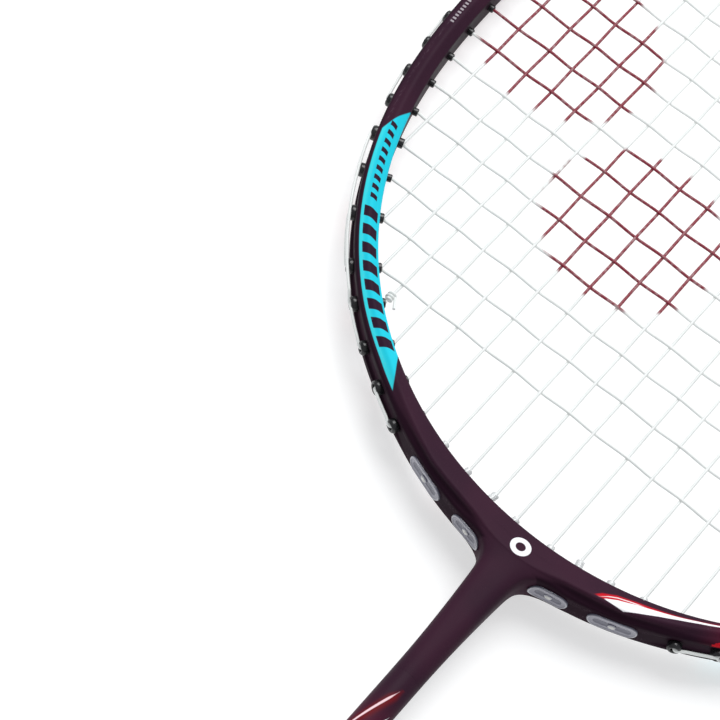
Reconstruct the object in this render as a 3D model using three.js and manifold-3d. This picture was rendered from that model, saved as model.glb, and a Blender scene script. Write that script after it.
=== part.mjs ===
// A badminton racket, strung, in millimetres. The string bed lies in the XY plane, the shaft runs
// along +Y from the butt (Y = 0) to the tip of the head, and +Z points out of the hitting face.

import * as THREE from 'three';
import { mergeVertices } from 'three/addons/utils/BufferGeometryUtils.js';
import Module from 'manifold-3d';

const wasm = await Module();
wasm.setup();

// ---------------------------------------------------------------- driving dimensions
const FIT_GAP = 0.3; // clearance between two pieces that touch
const CUT_PAST = 3; // how far a cutting solid runs past the face it opens

// The hoop's centre line: two half superellipses that meet where the head is widest.
const HEAD_HALF_WIDTH = 89.5;
const HEAD_WIDEST_Y = 555;
const WIDEST_TO_THROAT = 120.75;
const WIDEST_TO_TIP = 117.4;
const THROAT_POWERS = { x: 2.0, y: 2.6 };
const TIP_POWERS = { x: 2.35, y: 2.7 };
const OUTLINE_SAMPLES = 240;

// The hoop's section: a tall box with a ridge along each face and a groove round the outside.
// u runs outwards from the centre line and z up; the lower half mirrors the upper.
const HOOP_HALF_WIDTH = 2.6;
const UPPER_SECTION = [
  [-2.6, 2.8], [-2.3, 3.9], [-0.3, 5.2], [2.1, 4.1], [2.6, 3.2], [2.6, 2.2], [1.9, 1.9],
];
const GROOVE_DEPTH = 0.7;
const GROOVE_FLOOR_Z = 1.9;
const GROOVE_RUN_OUT = [30, 38]; // distance from the middle plane where the groove fades in
const HOOP_SEGMENTS = 96;

// Towards the throat the hoop's outer side swells, and its inner side stays where it is.
const THROAT_SWELL = 2.6;
const THROAT_SWELL_REACH = 47;
const SWELL_TAPER = 1.6; // power of the cosine that the swell dies out by
const SWELL_START_U = -2.3;
const SWELL_SPREAD = 0.4; // power by which the swell grows across the section

// The throat joint runs from the hoop down to the shaft, and its spigot fills the shaft's end.
const SEAM_Y = 395;
const THROAT_STATIONS = [
  { y: SEAM_Y, x: 3.45, z: 3.45 },
  { y: 404, x: 3.6, z: 3.7 },
  { y: 417, x: 4.2, z: 4.3 },
  { y: 425, x: 4.75, z: 4.7 },
  { y: 427.6, x: 5.1, z: 4.8 },
  { y: 429.4, x: 6.2, z: 4.8 },
  { y: 430.6, x: 9, z: 4.7 },
  { y: 434.5, x: 12, z: 4.6 },
];
const SPIGOT_RADIUS = 2.2;
const SPIGOT_LENGTH = 25;
const SPIGOT_ROOT = 2; // how far the spigot reaches up into the joint

const SHAFT_RADIUS = 3.45;
const SHAFT_BORE = SPIGOT_RADIUS + FIT_GAP;
const SHAFT_BOTTOM_Y = 80;

// The handle: an octagonal wooden core under a wrap, closed by a butt cap and a cone.
const CORE_HALF = { x: 11.2, z: 10.1 };
const CORE_TOP_Y = 165;
const CORE_BORE_BOTTOM_Y = 70;
const BUTT_CAP_THICKNESS = 3.7;
const BUTT_CAP_CHAMFER = 0.9;
const BADGE_RADIUS = 7.5;
const BADGE_THICKNESS = 1.2;
const WRAP_THICKNESS = 1.6;
const BUTT_FLARE = [[0, 1.7], [8, 0.9], [22, 0]]; // distance from the core's end, growth per side
const TAPE_BOTTOM_Y = 156;
const TAPE_TOP_Y = 168;
const TAPE_THICKNESS = 0.4;
const CONE_OUTLINE = [
  [11.8, 0], [11.8, 5], [10.4, 11], [8.3, 21], [6.6, 31], [5.5, 39], [4.7, 42],
]; // radius, height above the core

// The strings: the mains are one string and the crosses another.
const STRING_RADIUS = 0.35;
const STRING_SIDES = 4;
const MAIN_SPACING = 7.5;
const CROSS_COUNT = 22;
const LOWEST_CROSS_Y = 467;
const CROSS_SPACING = 8.7;
const CROSS_EXTRA = { first: 1.5, fade: 0.45 }; // the lowest crosses stand wider apart
const BED_LEVEL = 0.5; // the mains pass above the middle plane and the crosses below it
const BED_EASE = 6; // distance from a grommet over which a string reaches that level
const SHARED_LEVEL = 0.42; // height of each of two strings that share a grommet
const TIE_RUN_LEVEL = 1.35; // height of a string's last run, over the other loops
const RUN_CLEARANCE = 0.55; // from a grommet head's face to the middle of a string that runs over it
const RUN_START = 0.2; // below the head's face, where a string starts to turn into its run
const RUN_STEP = 5;
const RUN_BEND = 0.8; // length over which a string turns out of a hole into its run

// Grommets: a barrel through the hoop, with a head that seats in the groove.
const BARREL_TIP = -3.8;
const HEAD_THICKNESS = 1.6;
const NARROW = { bore: 0.65, barrel: 0.9, hole: 1.2, head: 1.6, sides: 6 };
const WIDE = { bore: 0.95, barrel: 1.15, hole: 1.45, head: 1.75, sides: 8 };
const LINK = { height: 0.9, thickness: 0.5 }; // the web between two grommets moulded as a pair

// Clear throat pads: two barrels under one oval plate, let into the hoop's swollen outer side.
const PAD = { height: 4.2, depth: 1.2, proud: 0.6, lean: 0.222 };
const PAD_POCKET = { rim: 1.0, height: 1.7, depth: 0.95 };
const PAD_STRING_DEPTH = 0.5; // the string's centre below the pad's face
const PAD_PLACES = [
  { mains: [1, 2], x: 10.1, half: 3.4, length: 9.4, reach: 11.0 },
  { mains: [3, 4], x: 24.3, half: 3.75, length: 10.8, reach: 9.6 },
];

// ---------------------------------------------------------------- solids and booleans
const MERGE_DISTANCE = 1e-4;

function solid(geometry) {
  const bare = geometry.clone();
  bare.deleteAttribute('normal');
  bare.deleteAttribute('uv');
  const merged = mergeVertices(bare, MERGE_DISTANCE);
  return new wasm.Manifold(new wasm.Mesh({
    numProp: 3,
    vertProperties: new Float32Array(merged.attributes.position.array),
    triVerts: new Uint32Array(merged.index.array),
  }));
}

function geometryOf(body) {
  const { vertProperties, triVerts } = body.getMesh();
  const geometry = new THREE.BufferGeometry();
  geometry.setAttribute('position', new THREE.BufferAttribute(vertProperties, 3));
  geometry.setIndex(new THREE.BufferAttribute(triVerts, 1));
  return geometry;
}

// A prism along Y whose half-widths x and z follow a list of stations from bottom to top.
function shapedPrism(sides, turn, stations) {
  const last = stations.length - 1;
  const prism = new THREE.CylinderGeometry(1, 1, last, sides, last, false, turn);
  const vertices = prism.attributes.position;
  for (let i = 0; i < vertices.count; i += 1) {
    const station = stations[Math.round(vertices.getY(i) + last / 2)];
    vertices.setXYZ(i, vertices.getX(i) * station.x, station.y, vertices.getZ(i) * station.z);
  }
  return prism;
}

// An octagon with flats on its four sides, grown outwards by a margin.
function octagonPrism(stations, margin) {
  const corner = 1 / Math.cos(Math.PI / 8);
  const grown = stations.map(({ y, x, z }) => (
    { y, x: (x + margin) * corner, z: (z + margin) * corner }
  ));
  return shapedPrism(8, Math.PI / 8, grown);
}

function cylinderBetween(radius, bottomY, topY, sides) {
  const cylinder = new THREE.CylinderGeometry(radius, radius, topY - bottomY, sides);
  return cylinder.translate(0, (bottomY + topY) / 2, 0);
}

// A ring of revolution about Y with a closed profile of [radius, y] corners.
function latheRing(profile, sides) {
  const closed = [...profile, profile[0]].map(([radius, y]) => new THREE.Vector2(radius, y));
  return new THREE.LatheGeometry(closed, sides);
}

// ---------------------------------------------------------------- the hoop's centre line
function outlinePoint(angle) {
  const c = Math.cos(angle);
  const s = Math.sin(angle);
  const powers = s < 0 ? THROAT_POWERS : TIP_POWERS;
  const reach = s < 0 ? WIDEST_TO_THROAT : WIDEST_TO_TIP;
  return new THREE.Vector3(
    Math.sign(c) * HEAD_HALF_WIDTH * Math.abs(c) ** (2 / powers.x),
    HEAD_WIDEST_Y + Math.sign(s) * reach * Math.abs(s) ** (2 / powers.y),
    0,
  );
}

const centreLine = new THREE.CatmullRomCurve3(
  Array.from({ length: OUTLINE_SAMPLES }, (_, i) => (
    outlinePoint(-Math.PI / 2 + (2 * Math.PI * i) / OUTLINE_SAMPLES)
  )),
  true,
);
centreLine.arcLengthDivisions = 4 * OUTLINE_SAMPLES;

// Fraction 0 is the middle of the throat, 0.5 the tip, and the +X side lies between them.
function hoopFrame(fraction) {
  const wrapped = ((fraction % 1) + 1) % 1;
  const point = centreLine.getPointAt(wrapped);
  const along = centreLine.getTangentAt(wrapped);
  const outward = new THREE.Vector3(along.y, -along.x, 0).normalize();
  return { point, along, outward };
}

function onHoop(fraction, u, z) {
  const { point, outward } = hoopFrame(fraction);
  return new THREE.Vector3(point.x + outward.x * u, point.y + outward.y * u, z);
}

// The fraction between low and high where a steady measure of the hoop reaches a target.
const HALVINGS = 40;

function fractionWhere(measure, target, low, high) {
  const rising = measure(high) > measure(low);
  for (let step = 0; step < HALVINGS; step += 1) {
    const middle = (low + high) / 2;
    if ((measure(middle) < target) === rising) low = middle;
    else high = middle;
  }
  return (low + high) / 2;
}

const TIP_FRACTION = 0.5;
const WIDEST_FRACTION = fractionWhere(
  (fraction) => hoopFrame(fraction).point.y, HEAD_WIDEST_Y, 0, TIP_FRACTION,
);

// How much further out the hoop's outer side lies near the throat.
function throatSwell(point) {
  const distance = Math.abs(point.x) / THROAT_SWELL_REACH;
  if (distance > 1 || point.y > HEAD_WIDEST_Y) return 0;
  return THROAT_SWELL * Math.cos((Math.PI / 2) * distance) ** SWELL_TAPER;
}

function grooveShare(point) {
  if (point.y > HEAD_WIDEST_Y) return 1;
  return THREE.MathUtils.smoothstep(Math.abs(point.x), ...GROOVE_RUN_OUT);
}

// How far outside the centre line a grommet's head seats, and where its face and the strings are.
function headSeat(fraction) {
  const { point } = hoopFrame(fraction);
  return HOOP_HALF_WIDTH + throatSwell(point) - GROOVE_DEPTH * grooveShare(point) + FIT_GAP;
}

const headFace = (fraction) => headSeat(fraction) + HEAD_THICKNESS;
const runOffset = (fraction) => headFace(fraction) + RUN_CLEARANCE;

// ---------------------------------------------------------------- where the strings pass the hoop
const mainX = (number) => MAIN_SPACING * (number - 0.5);

function crossY(index) {
  const { first, fade } = CROSS_EXTRA;
  return LOWEST_CROSS_Y + CROSS_SPACING * index + (first * (1 - fade ** index)) / (1 - fade);
}

const tipX = (fraction) => onHoop(fraction, BARREL_TIP, 0).x;
const tipY = (fraction) => onHoop(fraction, BARREL_TIP, 0).y;

// Some mains end in a cross string's hole: the last three at the throat end, four at the tip end.
const SHARED_AT_THROAT = { 9: 0, 10: 1, 11: 3 };
const SHARED_AT_TIP = { 8: 21, 9: 20, 10: 19, 11: 17 };

// Every single grommet of the +X side, in order from the throat to the tip.
function rightHoles() {
  const holes = [];
  for (let main = 5; main <= 8; main += 1) {
    const fraction = fractionWhere(tipX, mainX(main), 0, WIDEST_FRACTION);
    holes.push({ key: `throat_main_${main}`, fraction, wide: main === 6 || main === 8 });
  }
  const shared = [...Object.values(SHARED_AT_THROAT), ...Object.values(SHARED_AT_TIP)];
  for (let index = 0; index < CROSS_COUNT; index += 1) {
    const fraction = fractionWhere(tipY, crossY(index), 0, TIP_FRACTION);
    holes.push({ key: `cross_${index + 1}`, fraction, wide: shared.includes(index) });
  }
  for (let main = 7; main >= 1; main -= 1) {
    const fraction = fractionWhere(tipX, mainX(main), WIDEST_FRACTION, TIP_FRACTION);
    holes.push({ key: `tip_main_${main}`, fraction, wide: main === 6 });
  }
  return holes;
}

const HOLES = {};
for (const { key, fraction, wide } of rightHoles()) {
  HOLES[`right_${key}`] = { fraction, kind: wide ? WIDE : NARROW };
  HOLES[`left_${key}`] = { fraction: 1 - fraction, kind: wide ? WIDE : NARROW };
}

// Local +Y of a grommet points outwards through the hoop.
function placeOutward(point, outward) {
  const turn = Math.atan2(outward.y, outward.x) - Math.PI / 2;
  return new THREE.Matrix4().makeRotationZ(turn).setPosition(point);
}

function holePlace(hole) {
  const { point, outward } = hoopFrame(hole.fraction);
  return placeOutward(point, outward);
}

// A pad lies on the hoop's outer side, where that side is x away from the middle of the throat.
function padSite(side, { x, ...shape }) {
  const outerSide = (fraction) => (
    onHoop(fraction, HOOP_HALF_WIDTH + throatSwell(hoopFrame(fraction).point), 0)
  );
  const fraction = fractionWhere((share) => outerSide(share).x, x, 0, WIDEST_FRACTION);
  const surface = outerSide(fraction);
  const outward = new THREE.Vector3(PAD.lean * side, -Math.sqrt(1 - PAD.lean ** 2), 0);
  surface.x *= side;
  return { side, ...shape, place: placeOutward(surface, outward) };
}

const PADS = [-1, 1].flatMap((side) => PAD_PLACES.map((place) => padSite(side, place)));

// ---------------------------------------------------------------- the frame
function hoopSection() {
  const lower = UPPER_SECTION.map(([u, z]) => [u, -z]).reverse();
  return [...UPPER_SECTION, ...lower];
}

// Where a corner of the plain section lies once the throat's swell and groove are applied.
function swollen(u, z, point) {
  const swell = throatSwell(point);
  if (u > 0 && Math.abs(z) <= GROOVE_FLOOR_Z) {
    return HOOP_HALF_WIDTH + swell - GROOVE_DEPTH * grooveShare(point);
  }
  const across = (u - SWELL_START_U) / (HOOP_HALF_WIDTH - SWELL_START_U);
  return u + swell * Math.max(0, across) ** SWELL_SPREAD;
}

// A round ring of the hoop's section, bent onto the centre line.
const RING_RADIUS = 50;

function hoopSolid() {
  const ring = latheRing(hoopSection().map(([u, z]) => [RING_RADIUS + u, z]), HOOP_SEGMENTS);
  const vertices = ring.attributes.position;
  for (let i = 0; i < vertices.count; i += 1) {
    const angle = Math.atan2(vertices.getX(i), vertices.getZ(i));
    const fraction = Math.round((angle / (2 * Math.PI)) * HOOP_SEGMENTS) / HOOP_SEGMENTS;
    const u = Math.hypot(vertices.getX(i), vertices.getZ(i)) - RING_RADIUS;
    const z = vertices.getY(i);
    const { point } = hoopFrame(-fraction);
    vertices.setXYZ(i, ...onHoop(-fraction, swollen(u, z, point), z));
  }
  return solid(ring);
}

// An upright plate with round ends, long in X and across in Z.
function stadium(length, height, bottomY, topY) {
  const radius = height / 2;
  const reach = length / 2 - radius;
  const shape = new THREE.Shape();
  shape.absarc(reach, 0, radius, -Math.PI / 2, Math.PI / 2);
  shape.absarc(-reach, 0, radius, Math.PI / 2, (3 * Math.PI) / 2);
  const plate = new THREE.ExtrudeGeometry(shape, {
    depth: topY - bottomY, bevelEnabled: false, curveSegments: 5,
  });
  return plate.rotateX(-Math.PI / 2).translate(0, bottomY, 0);
}

function padCut({ place, length, half, reach }) {
  const recess = stadium(
    length + 2 * FIT_GAP, PAD.height + 2 * FIT_GAP, -PAD.depth - FIT_GAP, CUT_PAST,
  );
  let cut = solid(recess.applyMatrix4(place));
  for (const x of [-half, half]) {
    const hole = cylinderBetween(NARROW.hole, -reach, 0, NARROW.sides).translate(x, 0, 0);
    cut = cut.add(solid(hole.applyMatrix4(place)));
  }
  return cut;
}

function frameGeometry() {
  const throat = shapedPrism(16, 0, THROAT_STATIONS);
  const spigot = cylinderBetween(
    SPIGOT_RADIUS, SEAM_Y - SPIGOT_LENGTH, SEAM_Y + SPIGOT_ROOT, 12,
  );
  let frame = hoopSolid().add(solid(throat)).add(solid(spigot));
  for (const hole of Object.values(HOLES)) {
    const { hole: radius, sides } = hole.kind;
    const cut = cylinderBetween(radius, BARREL_TIP, headFace(hole.fraction), sides);
    frame = frame.subtract(solid(cut.applyMatrix4(holePlace(hole))));
  }
  for (const pad of PADS) frame = frame.subtract(padCut(pad));
  return geometryOf(frame);
}

// ---------------------------------------------------------------- grommets
function grommetShape({ fraction, kind }) {
  const { bore, barrel, head, sides } = kind;
  const seat = headSeat(fraction);
  const face = headFace(fraction);
  return latheRing([
    [bore, BARREL_TIP], [barrel, BARREL_TIP], [barrel, seat],
    [head, seat], [head, face], [bore, face],
  ], sides);
}

// Two neighbouring grommets moulded as a pair, joined by a thin web along the groove's floor.
function grommetPair(holes) {
  const ends = holes.map(({ fraction }) => (
    onHoop(fraction, headSeat(fraction) + LINK.thickness / 2, 0)
  ));
  const span = new THREE.Vector3().subVectors(ends[1], ends[0]);
  const inset = WIDE.barrel;
  const link = new THREE.BoxGeometry(span.length() - 2 * inset, LINK.thickness, LINK.height);
  link.rotateZ(Math.atan2(span.y, span.x));
  link.translate(...ends[0].clone().add(ends[1]).multiplyScalar(0.5));
  let pair = solid(link);
  for (const hole of holes) {
    pair = pair.add(solid(grommetShape(hole).applyMatrix4(holePlace(hole))));
  }
  return geometryOf(pair);
}

// A pad in its own frame: the plate's underside, its barrels and the pocket that the string lies in.
function padGeometry({ length, half, reach }) {
  let pad = solid(stadium(length, PAD.height, -PAD.depth, PAD.proud));
  for (const x of [-half, half]) {
    const barrel = cylinderBetween(
      NARROW.barrel, PAD.proud - reach, -PAD.depth / 2, NARROW.sides,
    );
    pad = pad.add(solid(barrel.translate(x, 0, 0)));
  }
  pad = pad.subtract(solid(stadium(
    length - 2 * PAD_POCKET.rim, PAD_POCKET.height, PAD.proud - PAD_POCKET.depth,
    PAD.proud + CUT_PAST,
  )));
  for (const x of [-half, half]) {
    const bore = cylinderBetween(
      NARROW.bore, -reach - CUT_PAST, PAD.proud + CUT_PAST, NARROW.sides,
    );
    pad = pad.subtract(solid(bore.translate(x, 0, 0)));
  }
  return geometryOf(pad);
}

// ---------------------------------------------------------------- strings
// A route whose stations along an extrusion are exactly its listed points.
class ListedRoute extends THREE.Curve {
  constructor(points) {
    super();
    this.points = points;
  }

  getPointAt(share) {
    return this.points[Math.round(share * (this.points.length - 1))].clone();
  }

  getTangentAt(share) {
    const here = Math.round(share * (this.points.length - 1));
    const tangent = new THREE.Vector3();
    for (const from of [here - 1, here]) {
      if (from >= 0 && from + 1 < this.points.length) {
        tangent.add(this.points[from + 1].clone().sub(this.points[from]).normalize());
      }
    }
    return tangent.normalize();
  }
}

const boreLevel = (name, level) => (HOLES[name].kind === WIDE ? level : 0);

// The points of a string through one grommet, from the bed outwards.
function throughHole(name, level) {
  const { fraction } = HOLES[name];
  const z = boreLevel(name, level);
  return [onHoop(fraction, BARREL_TIP, z), onHoop(fraction, headFace(fraction) - RUN_START, z)];
}

// The same for one barrel of a pad: barrel 0 is the one nearer the middle of the throat.
function throughPad(side, main) {
  const pad = PADS.find((entry) => entry.side === side && entry.mains.includes(main));
  const x = pad.half * (main === pad.mains[0] ? side : -side);
  const stringY = PAD.proud - PAD_STRING_DEPTH;
  return [
    new THREE.Vector3(x, PAD.proud - pad.reach, 0).applyMatrix4(pad.place),
    new THREE.Vector3(x, stringY, 0).applyMatrix4(pad.place),
  ];
}

// The run along the groove between two holes. It leaves each at its own height there, ends[0] or
// ends[1], and is at its level in between.
function runBetween(nameA, nameB, level, ends) {
  const a = HOLES[nameA].fraction;
  const b = HOLES[nameB].fraction;
  const perMillimetre = Math.sign(b - a) / centreLine.getLength();
  const start = a + RUN_BEND * perMillimetre;
  const end = b - RUN_BEND * perMillimetre;
  const steps = Math.ceil(Math.abs(end - start) * centreLine.getLength() / RUN_STEP);
  return Array.from({ length: steps + 1 }, (_, i) => {
    const fraction = start + ((end - start) * i) / steps;
    const z = { 0: ends[0], [steps]: ends[1] }[i] ?? level;
    return onHoop(fraction, runOffset(fraction), z);
  });
}

// The loop from one hole to the next, on its own string's side of the middle plane.
function loopBetween(nameA, nameB, level) {
  const ends = [nameA, nameB].map((name) => boreLevel(name, Math.sign(level) * SHARED_LEVEL));
  return runBetween(nameA, nameB, level, ends);
}

// A straight string across the bed: it eases to its level beside each grommet.
function acrossBed(from, to, level) {
  const ease = new THREE.Vector3().subVectors(to, from).setLength(BED_EASE);
  const near = from.clone().add(ease).setZ(level);
  const far = to.clone().sub(ease).setZ(level);
  return [near, far];
}

const SIDE_NAME = { '-1': 'left', 1: 'right' };

function mainHoleName(side, main, end) {
  const shared = end === 'throat' ? SHARED_AT_THROAT : SHARED_AT_TIP;
  const key = main in shared ? `cross_${shared[main] + 1}` : `${end}_main_${main}`;
  return `${SIDE_NAME[side]}_${key}`;
}

function mainEnd(side, main, end) {
  if (end === 'throat' && main <= 4) return throughPad(side, main);
  return throughHole(mainHoleName(side, main, end), SHARED_LEVEL);
}

// The mains of one side, from the tie-off at the throat to the loop over the tip's middle.
function halfMains(side) {
  const tie = mainHoleName(side, 8, 'throat');
  const last = mainHoleName(side, 11, 'throat');
  const points = throughHole(tie, -SHARED_LEVEL);
  points.push(...runBetween(tie, last, TIE_RUN_LEVEL, [-SHARED_LEVEL, SHARED_LEVEL]));
  for (let main = 11; main >= 1; main -= 1) {
    const upwards = main % 2 === 1;
    const [startEnd, stopEnd] = upwards ? ['throat', 'tip'] : ['tip', 'throat'];
    const entry = mainEnd(side, main, startEnd).reverse();
    const exit = mainEnd(side, main, stopEnd);
    points.push(...entry, ...acrossBed(entry[1], exit[0], BED_LEVEL), ...exit);
    const underPad = stopEnd === 'throat' && main <= 4;
    if (main > 1 && !underPad) {
      const level = main === 11 ? TIE_RUN_LEVEL : BED_LEVEL; // the first loop passes over a hole
      points.push(...loopBetween(
        mainHoleName(side, main, stopEnd), mainHoleName(side, main - 1, stopEnd), level,
      ));
    }
  }
  return points;
}

function mainRoute() {
  const left = halfMains(-1);
  const right = halfMains(1).reverse();
  const overTip = loopBetween(
    mainHoleName(-1, 1, 'tip'), mainHoleName(1, 1, 'tip'), BED_LEVEL,
  );
  return [...left, ...overTip, ...right];
}

// The crosses, from the tie-off at the throat's right to the one at the tip's right.
function crossRoute() {
  const holeName = (side, index) => `${SIDE_NAME[side]}_cross_${index + 1}`;
  const tieEnds = [-SHARED_LEVEL, -SHARED_LEVEL];
  const points = throughHole('right_throat_main_6', -SHARED_LEVEL);
  points.push(...runBetween('right_throat_main_6', holeName(1, 0), -TIE_RUN_LEVEL, tieEnds));
  for (let index = 0; index < CROSS_COUNT; index += 1) {
    const side = index % 2 === 0 ? 1 : -1;
    const entry = throughHole(holeName(side, index), -SHARED_LEVEL).reverse();
    const exit = throughHole(holeName(-side, index), -SHARED_LEVEL);
    points.push(...entry, ...acrossBed(entry[1], exit[0], -BED_LEVEL), ...exit);
    if (index + 1 < CROSS_COUNT) {
      const nextHole = holeName(-side, index + 1);
      points.push(...loopBetween(holeName(-side, index), nextHole, -BED_LEVEL));
    }
  }
  const lastHole = holeName(1, CROSS_COUNT - 1);
  points.push(...runBetween(lastHole, 'right_tip_main_6', -TIE_RUN_LEVEL, tieEnds));
  points.push(...throughHole('right_tip_main_6', -SHARED_LEVEL).reverse());
  return points;
}

function stringGeometry(route) {
  const corners = Array.from({ length: STRING_SIDES }, (_, i) => {
    const angle = (2 * Math.PI * i) / STRING_SIDES;
    return new THREE.Vector2(Math.cos(angle), Math.sin(angle)).multiplyScalar(STRING_RADIUS);
  });
  return new THREE.ExtrudeGeometry(new THREE.Shape(corners), {
    extrudePath: new ListedRoute(route), steps: route.length - 1, bevelEnabled: false,
  });
}

// ---------------------------------------------------------------- shaft and handle
function coreStations(bottomY, topY) {
  const flared = BUTT_FLARE.map(([distance, growth]) => (
    { y: bottomY + distance, x: CORE_HALF.x + growth, z: CORE_HALF.z + growth }
  ));
  return [...flared, { y: topY, ...CORE_HALF }];
}

const CORE_BOTTOM_Y = BUTT_CAP_THICKNESS + FIT_GAP;

function coreGeometry() {
  const core = solid(octagonPrism(coreStations(CORE_BOTTOM_Y, CORE_TOP_Y), 0));
  const bore = cylinderBetween(
    SHAFT_RADIUS + FIT_GAP, CORE_BORE_BOTTOM_Y, CORE_TOP_Y + CUT_PAST, 16,
  );
  return geometryOf(core.subtract(solid(bore)));
}

// A sleeve round the core from one margin to another.
function sleeveGeometry(stations, inner, outer) {
  const first = stations[0];
  const last = stations.at(-1);
  const hollow = solid(octagonPrism([
    { ...first, y: first.y - CUT_PAST }, ...stations, { ...last, y: last.y + CUT_PAST },
  ], inner));
  return geometryOf(solid(octagonPrism(stations, outer)).subtract(hollow));
}

function wrapGeometry() {
  return sleeveGeometry(
    coreStations(CORE_BOTTOM_Y, CORE_TOP_Y), FIT_GAP, FIT_GAP + WRAP_THICKNESS,
  );
}

function tapeGeometry() {
  const margin = 2 * FIT_GAP + WRAP_THICKNESS;
  const stations = [TAPE_BOTTOM_Y, TAPE_TOP_Y].map((y) => ({ y, ...CORE_HALF }));
  return sleeveGeometry(stations, margin, margin + TAPE_THICKNESS);
}

function buttCapGeometry() {
  const margin = BUTT_FLARE[0][1] + FIT_GAP + WRAP_THICKNESS;
  const full = { x: CORE_HALF.x + margin, z: CORE_HALF.z + margin };
  const cap = solid(octagonPrism([
    { y: 0, x: full.x - BUTT_CAP_CHAMFER, z: full.z - BUTT_CAP_CHAMFER },
    { y: BUTT_CAP_CHAMFER, ...full },
    { y: BUTT_CAP_THICKNESS, ...full },
  ], 0));
  const pocket = cylinderBetween(
    BADGE_RADIUS + FIT_GAP, -CUT_PAST, BADGE_THICKNESS + FIT_GAP, 24,
  );
  return geometryOf(cap.subtract(solid(pocket)));
}

function coneGeometry() {
  const base = CORE_TOP_Y + FIT_GAP;
  const bore = SHAFT_RADIUS + FIT_GAP;
  const outline = CONE_OUTLINE.map(([radius, height]) => [radius, base + height]);
  return latheRing([[bore, base], ...outline, [bore, outline.at(-1)[1]]], 20);
}

function shaftGeometry() {
  const top = SEAM_Y - FIT_GAP;
  return latheRing([
    [SHAFT_BORE, SHAFT_BOTTOM_Y], [SHAFT_RADIUS, SHAFT_BOTTOM_Y],
    [SHAFT_RADIUS, top], [SHAFT_BORE, top],
  ], 16);
}

// ---------------------------------------------------------------- materials
const finish = (color, roughness, metalness = 0) => (
  new THREE.MeshStandardMaterial({ color, roughness, metalness })
);

const PLUM_PAINT = finish(0x42303a, 0.45);
const BLACK_PLASTIC = finish(0x17171a, 0.5);
const CLEAR_PLASTIC = finish(0xd5d8de, 0.25);
const STRING_NYLON = finish(0xeff1f0, 0.35);
const WOOD = finish(0xc79d6b, 0.7);
const WRAP_BLACK = finish(0x1d1d20, 0.75);
const TAPE_BLACK = finish(0x242426, 0.4);
const BADGE_SILVER = finish(0xb9bcc2, 0.35, 0.6);

// ---------------------------------------------------------------- assembly
const racket = new THREE.Group();

function add(parent, name, geometry, material) {
  const mesh = new THREE.Mesh(geometry, material.clone());
  mesh.name = name;
  parent.add(mesh);
  return mesh;
}

function addAt(parent, name, geometry, material, place) {
  const mesh = add(parent, name, geometry, material);
  mesh.position.setFromMatrixPosition(place);
  mesh.rotation.setFromRotationMatrix(place);
  return mesh;
}

const head = new THREE.Group();
add(head, 'head_frame', frameGeometry(), PLUM_PAINT);
add(head, 'main_string', stringGeometry(mainRoute()), STRING_NYLON);
add(head, 'cross_string', stringGeometry(crossRoute()), STRING_NYLON);
for (const pad of PADS) {
  const name = `throat_pad_${SIDE_NAME[pad.side]}_${pad.mains.join('_')}`;
  addAt(head, name, padGeometry(pad), CLEAR_PLASTIC, pad.place);
}

// Grommets moulded in pairs: the crosses' from the sixth up, and the tip mains' except the first.
function pairKeys() {
  const pairs = [];
  for (let index = 5; index < CROSS_COUNT - 1; index += 2) {
    pairs.push([`cross_${index + 1}`, `cross_${index + 2}`]);
  }
  for (let main = 7; main > 1; main -= 2) pairs.push([`tip_main_${main}`, `tip_main_${main - 1}`]);
  return pairs;
}

for (const side of ['left', 'right']) {
  const paired = new Set();
  for (const keys of pairKeys()) {
    const names = keys.map((key) => `${side}_${key}`);
    names.forEach((name) => paired.add(name));
    const nodeName = `grommet_${side}_${keys[0]}_${keys[1].split('_').at(-1)}`;
    add(head, nodeName, grommetPair(names.map((name) => HOLES[name])), BLACK_PLASTIC);
  }
  for (const [name, hole] of Object.entries(HOLES)) {
    if (name.startsWith(side) && !paired.has(name)) {
      addAt(head, `grommet_${name}`, grommetShape(hole), BLACK_PLASTIC, holePlace(hole));
    }
  }
}

const handle = new THREE.Group();
add(handle, 'handle_core', coreGeometry(), WOOD);
add(handle, 'grip_wrap', wrapGeometry(), WRAP_BLACK);
add(handle, 'finishing_tape', tapeGeometry(), TAPE_BLACK);
add(handle, 'handle_cone', coneGeometry(), PLUM_PAINT);
add(handle, 'butt_cap', buttCapGeometry(), BLACK_PLASTIC);
add(
  handle, 'butt_badge', cylinderBetween(BADGE_RADIUS, 0, BADGE_THICKNESS, 24), BADGE_SILVER,
);

racket.add(head, handle);
add(racket, 'shaft', shaftGeometry(), PLUM_PAINT);

export default racket;
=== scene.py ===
"""A strung badminton racket, lying on a pale floor.

The racket's own frame has the string bed in the XY plane, the shaft along +Y from the butt at Y = 0,
and +Z out of the hitting face. Sizes are in millimetres and become metres when a mesh is made.
"""

import math

import bmesh
import bpy
import numpy as np
from mathutils import Matrix, Vector
from mathutils.bvhtree import BVHTree


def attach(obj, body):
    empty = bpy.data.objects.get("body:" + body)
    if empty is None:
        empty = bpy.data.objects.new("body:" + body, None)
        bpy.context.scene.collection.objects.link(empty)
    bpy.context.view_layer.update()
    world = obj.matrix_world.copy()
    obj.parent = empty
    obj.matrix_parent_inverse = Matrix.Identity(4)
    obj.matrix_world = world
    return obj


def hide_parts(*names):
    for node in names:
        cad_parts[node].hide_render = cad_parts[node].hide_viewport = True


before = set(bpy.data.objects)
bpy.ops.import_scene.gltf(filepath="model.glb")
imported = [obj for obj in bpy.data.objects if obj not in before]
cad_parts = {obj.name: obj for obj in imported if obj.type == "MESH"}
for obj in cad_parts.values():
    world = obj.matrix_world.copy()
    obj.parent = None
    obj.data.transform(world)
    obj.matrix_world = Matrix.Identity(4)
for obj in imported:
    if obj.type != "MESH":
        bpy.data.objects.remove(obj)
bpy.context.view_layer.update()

MM = 0.001
BODY = "root"

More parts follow.
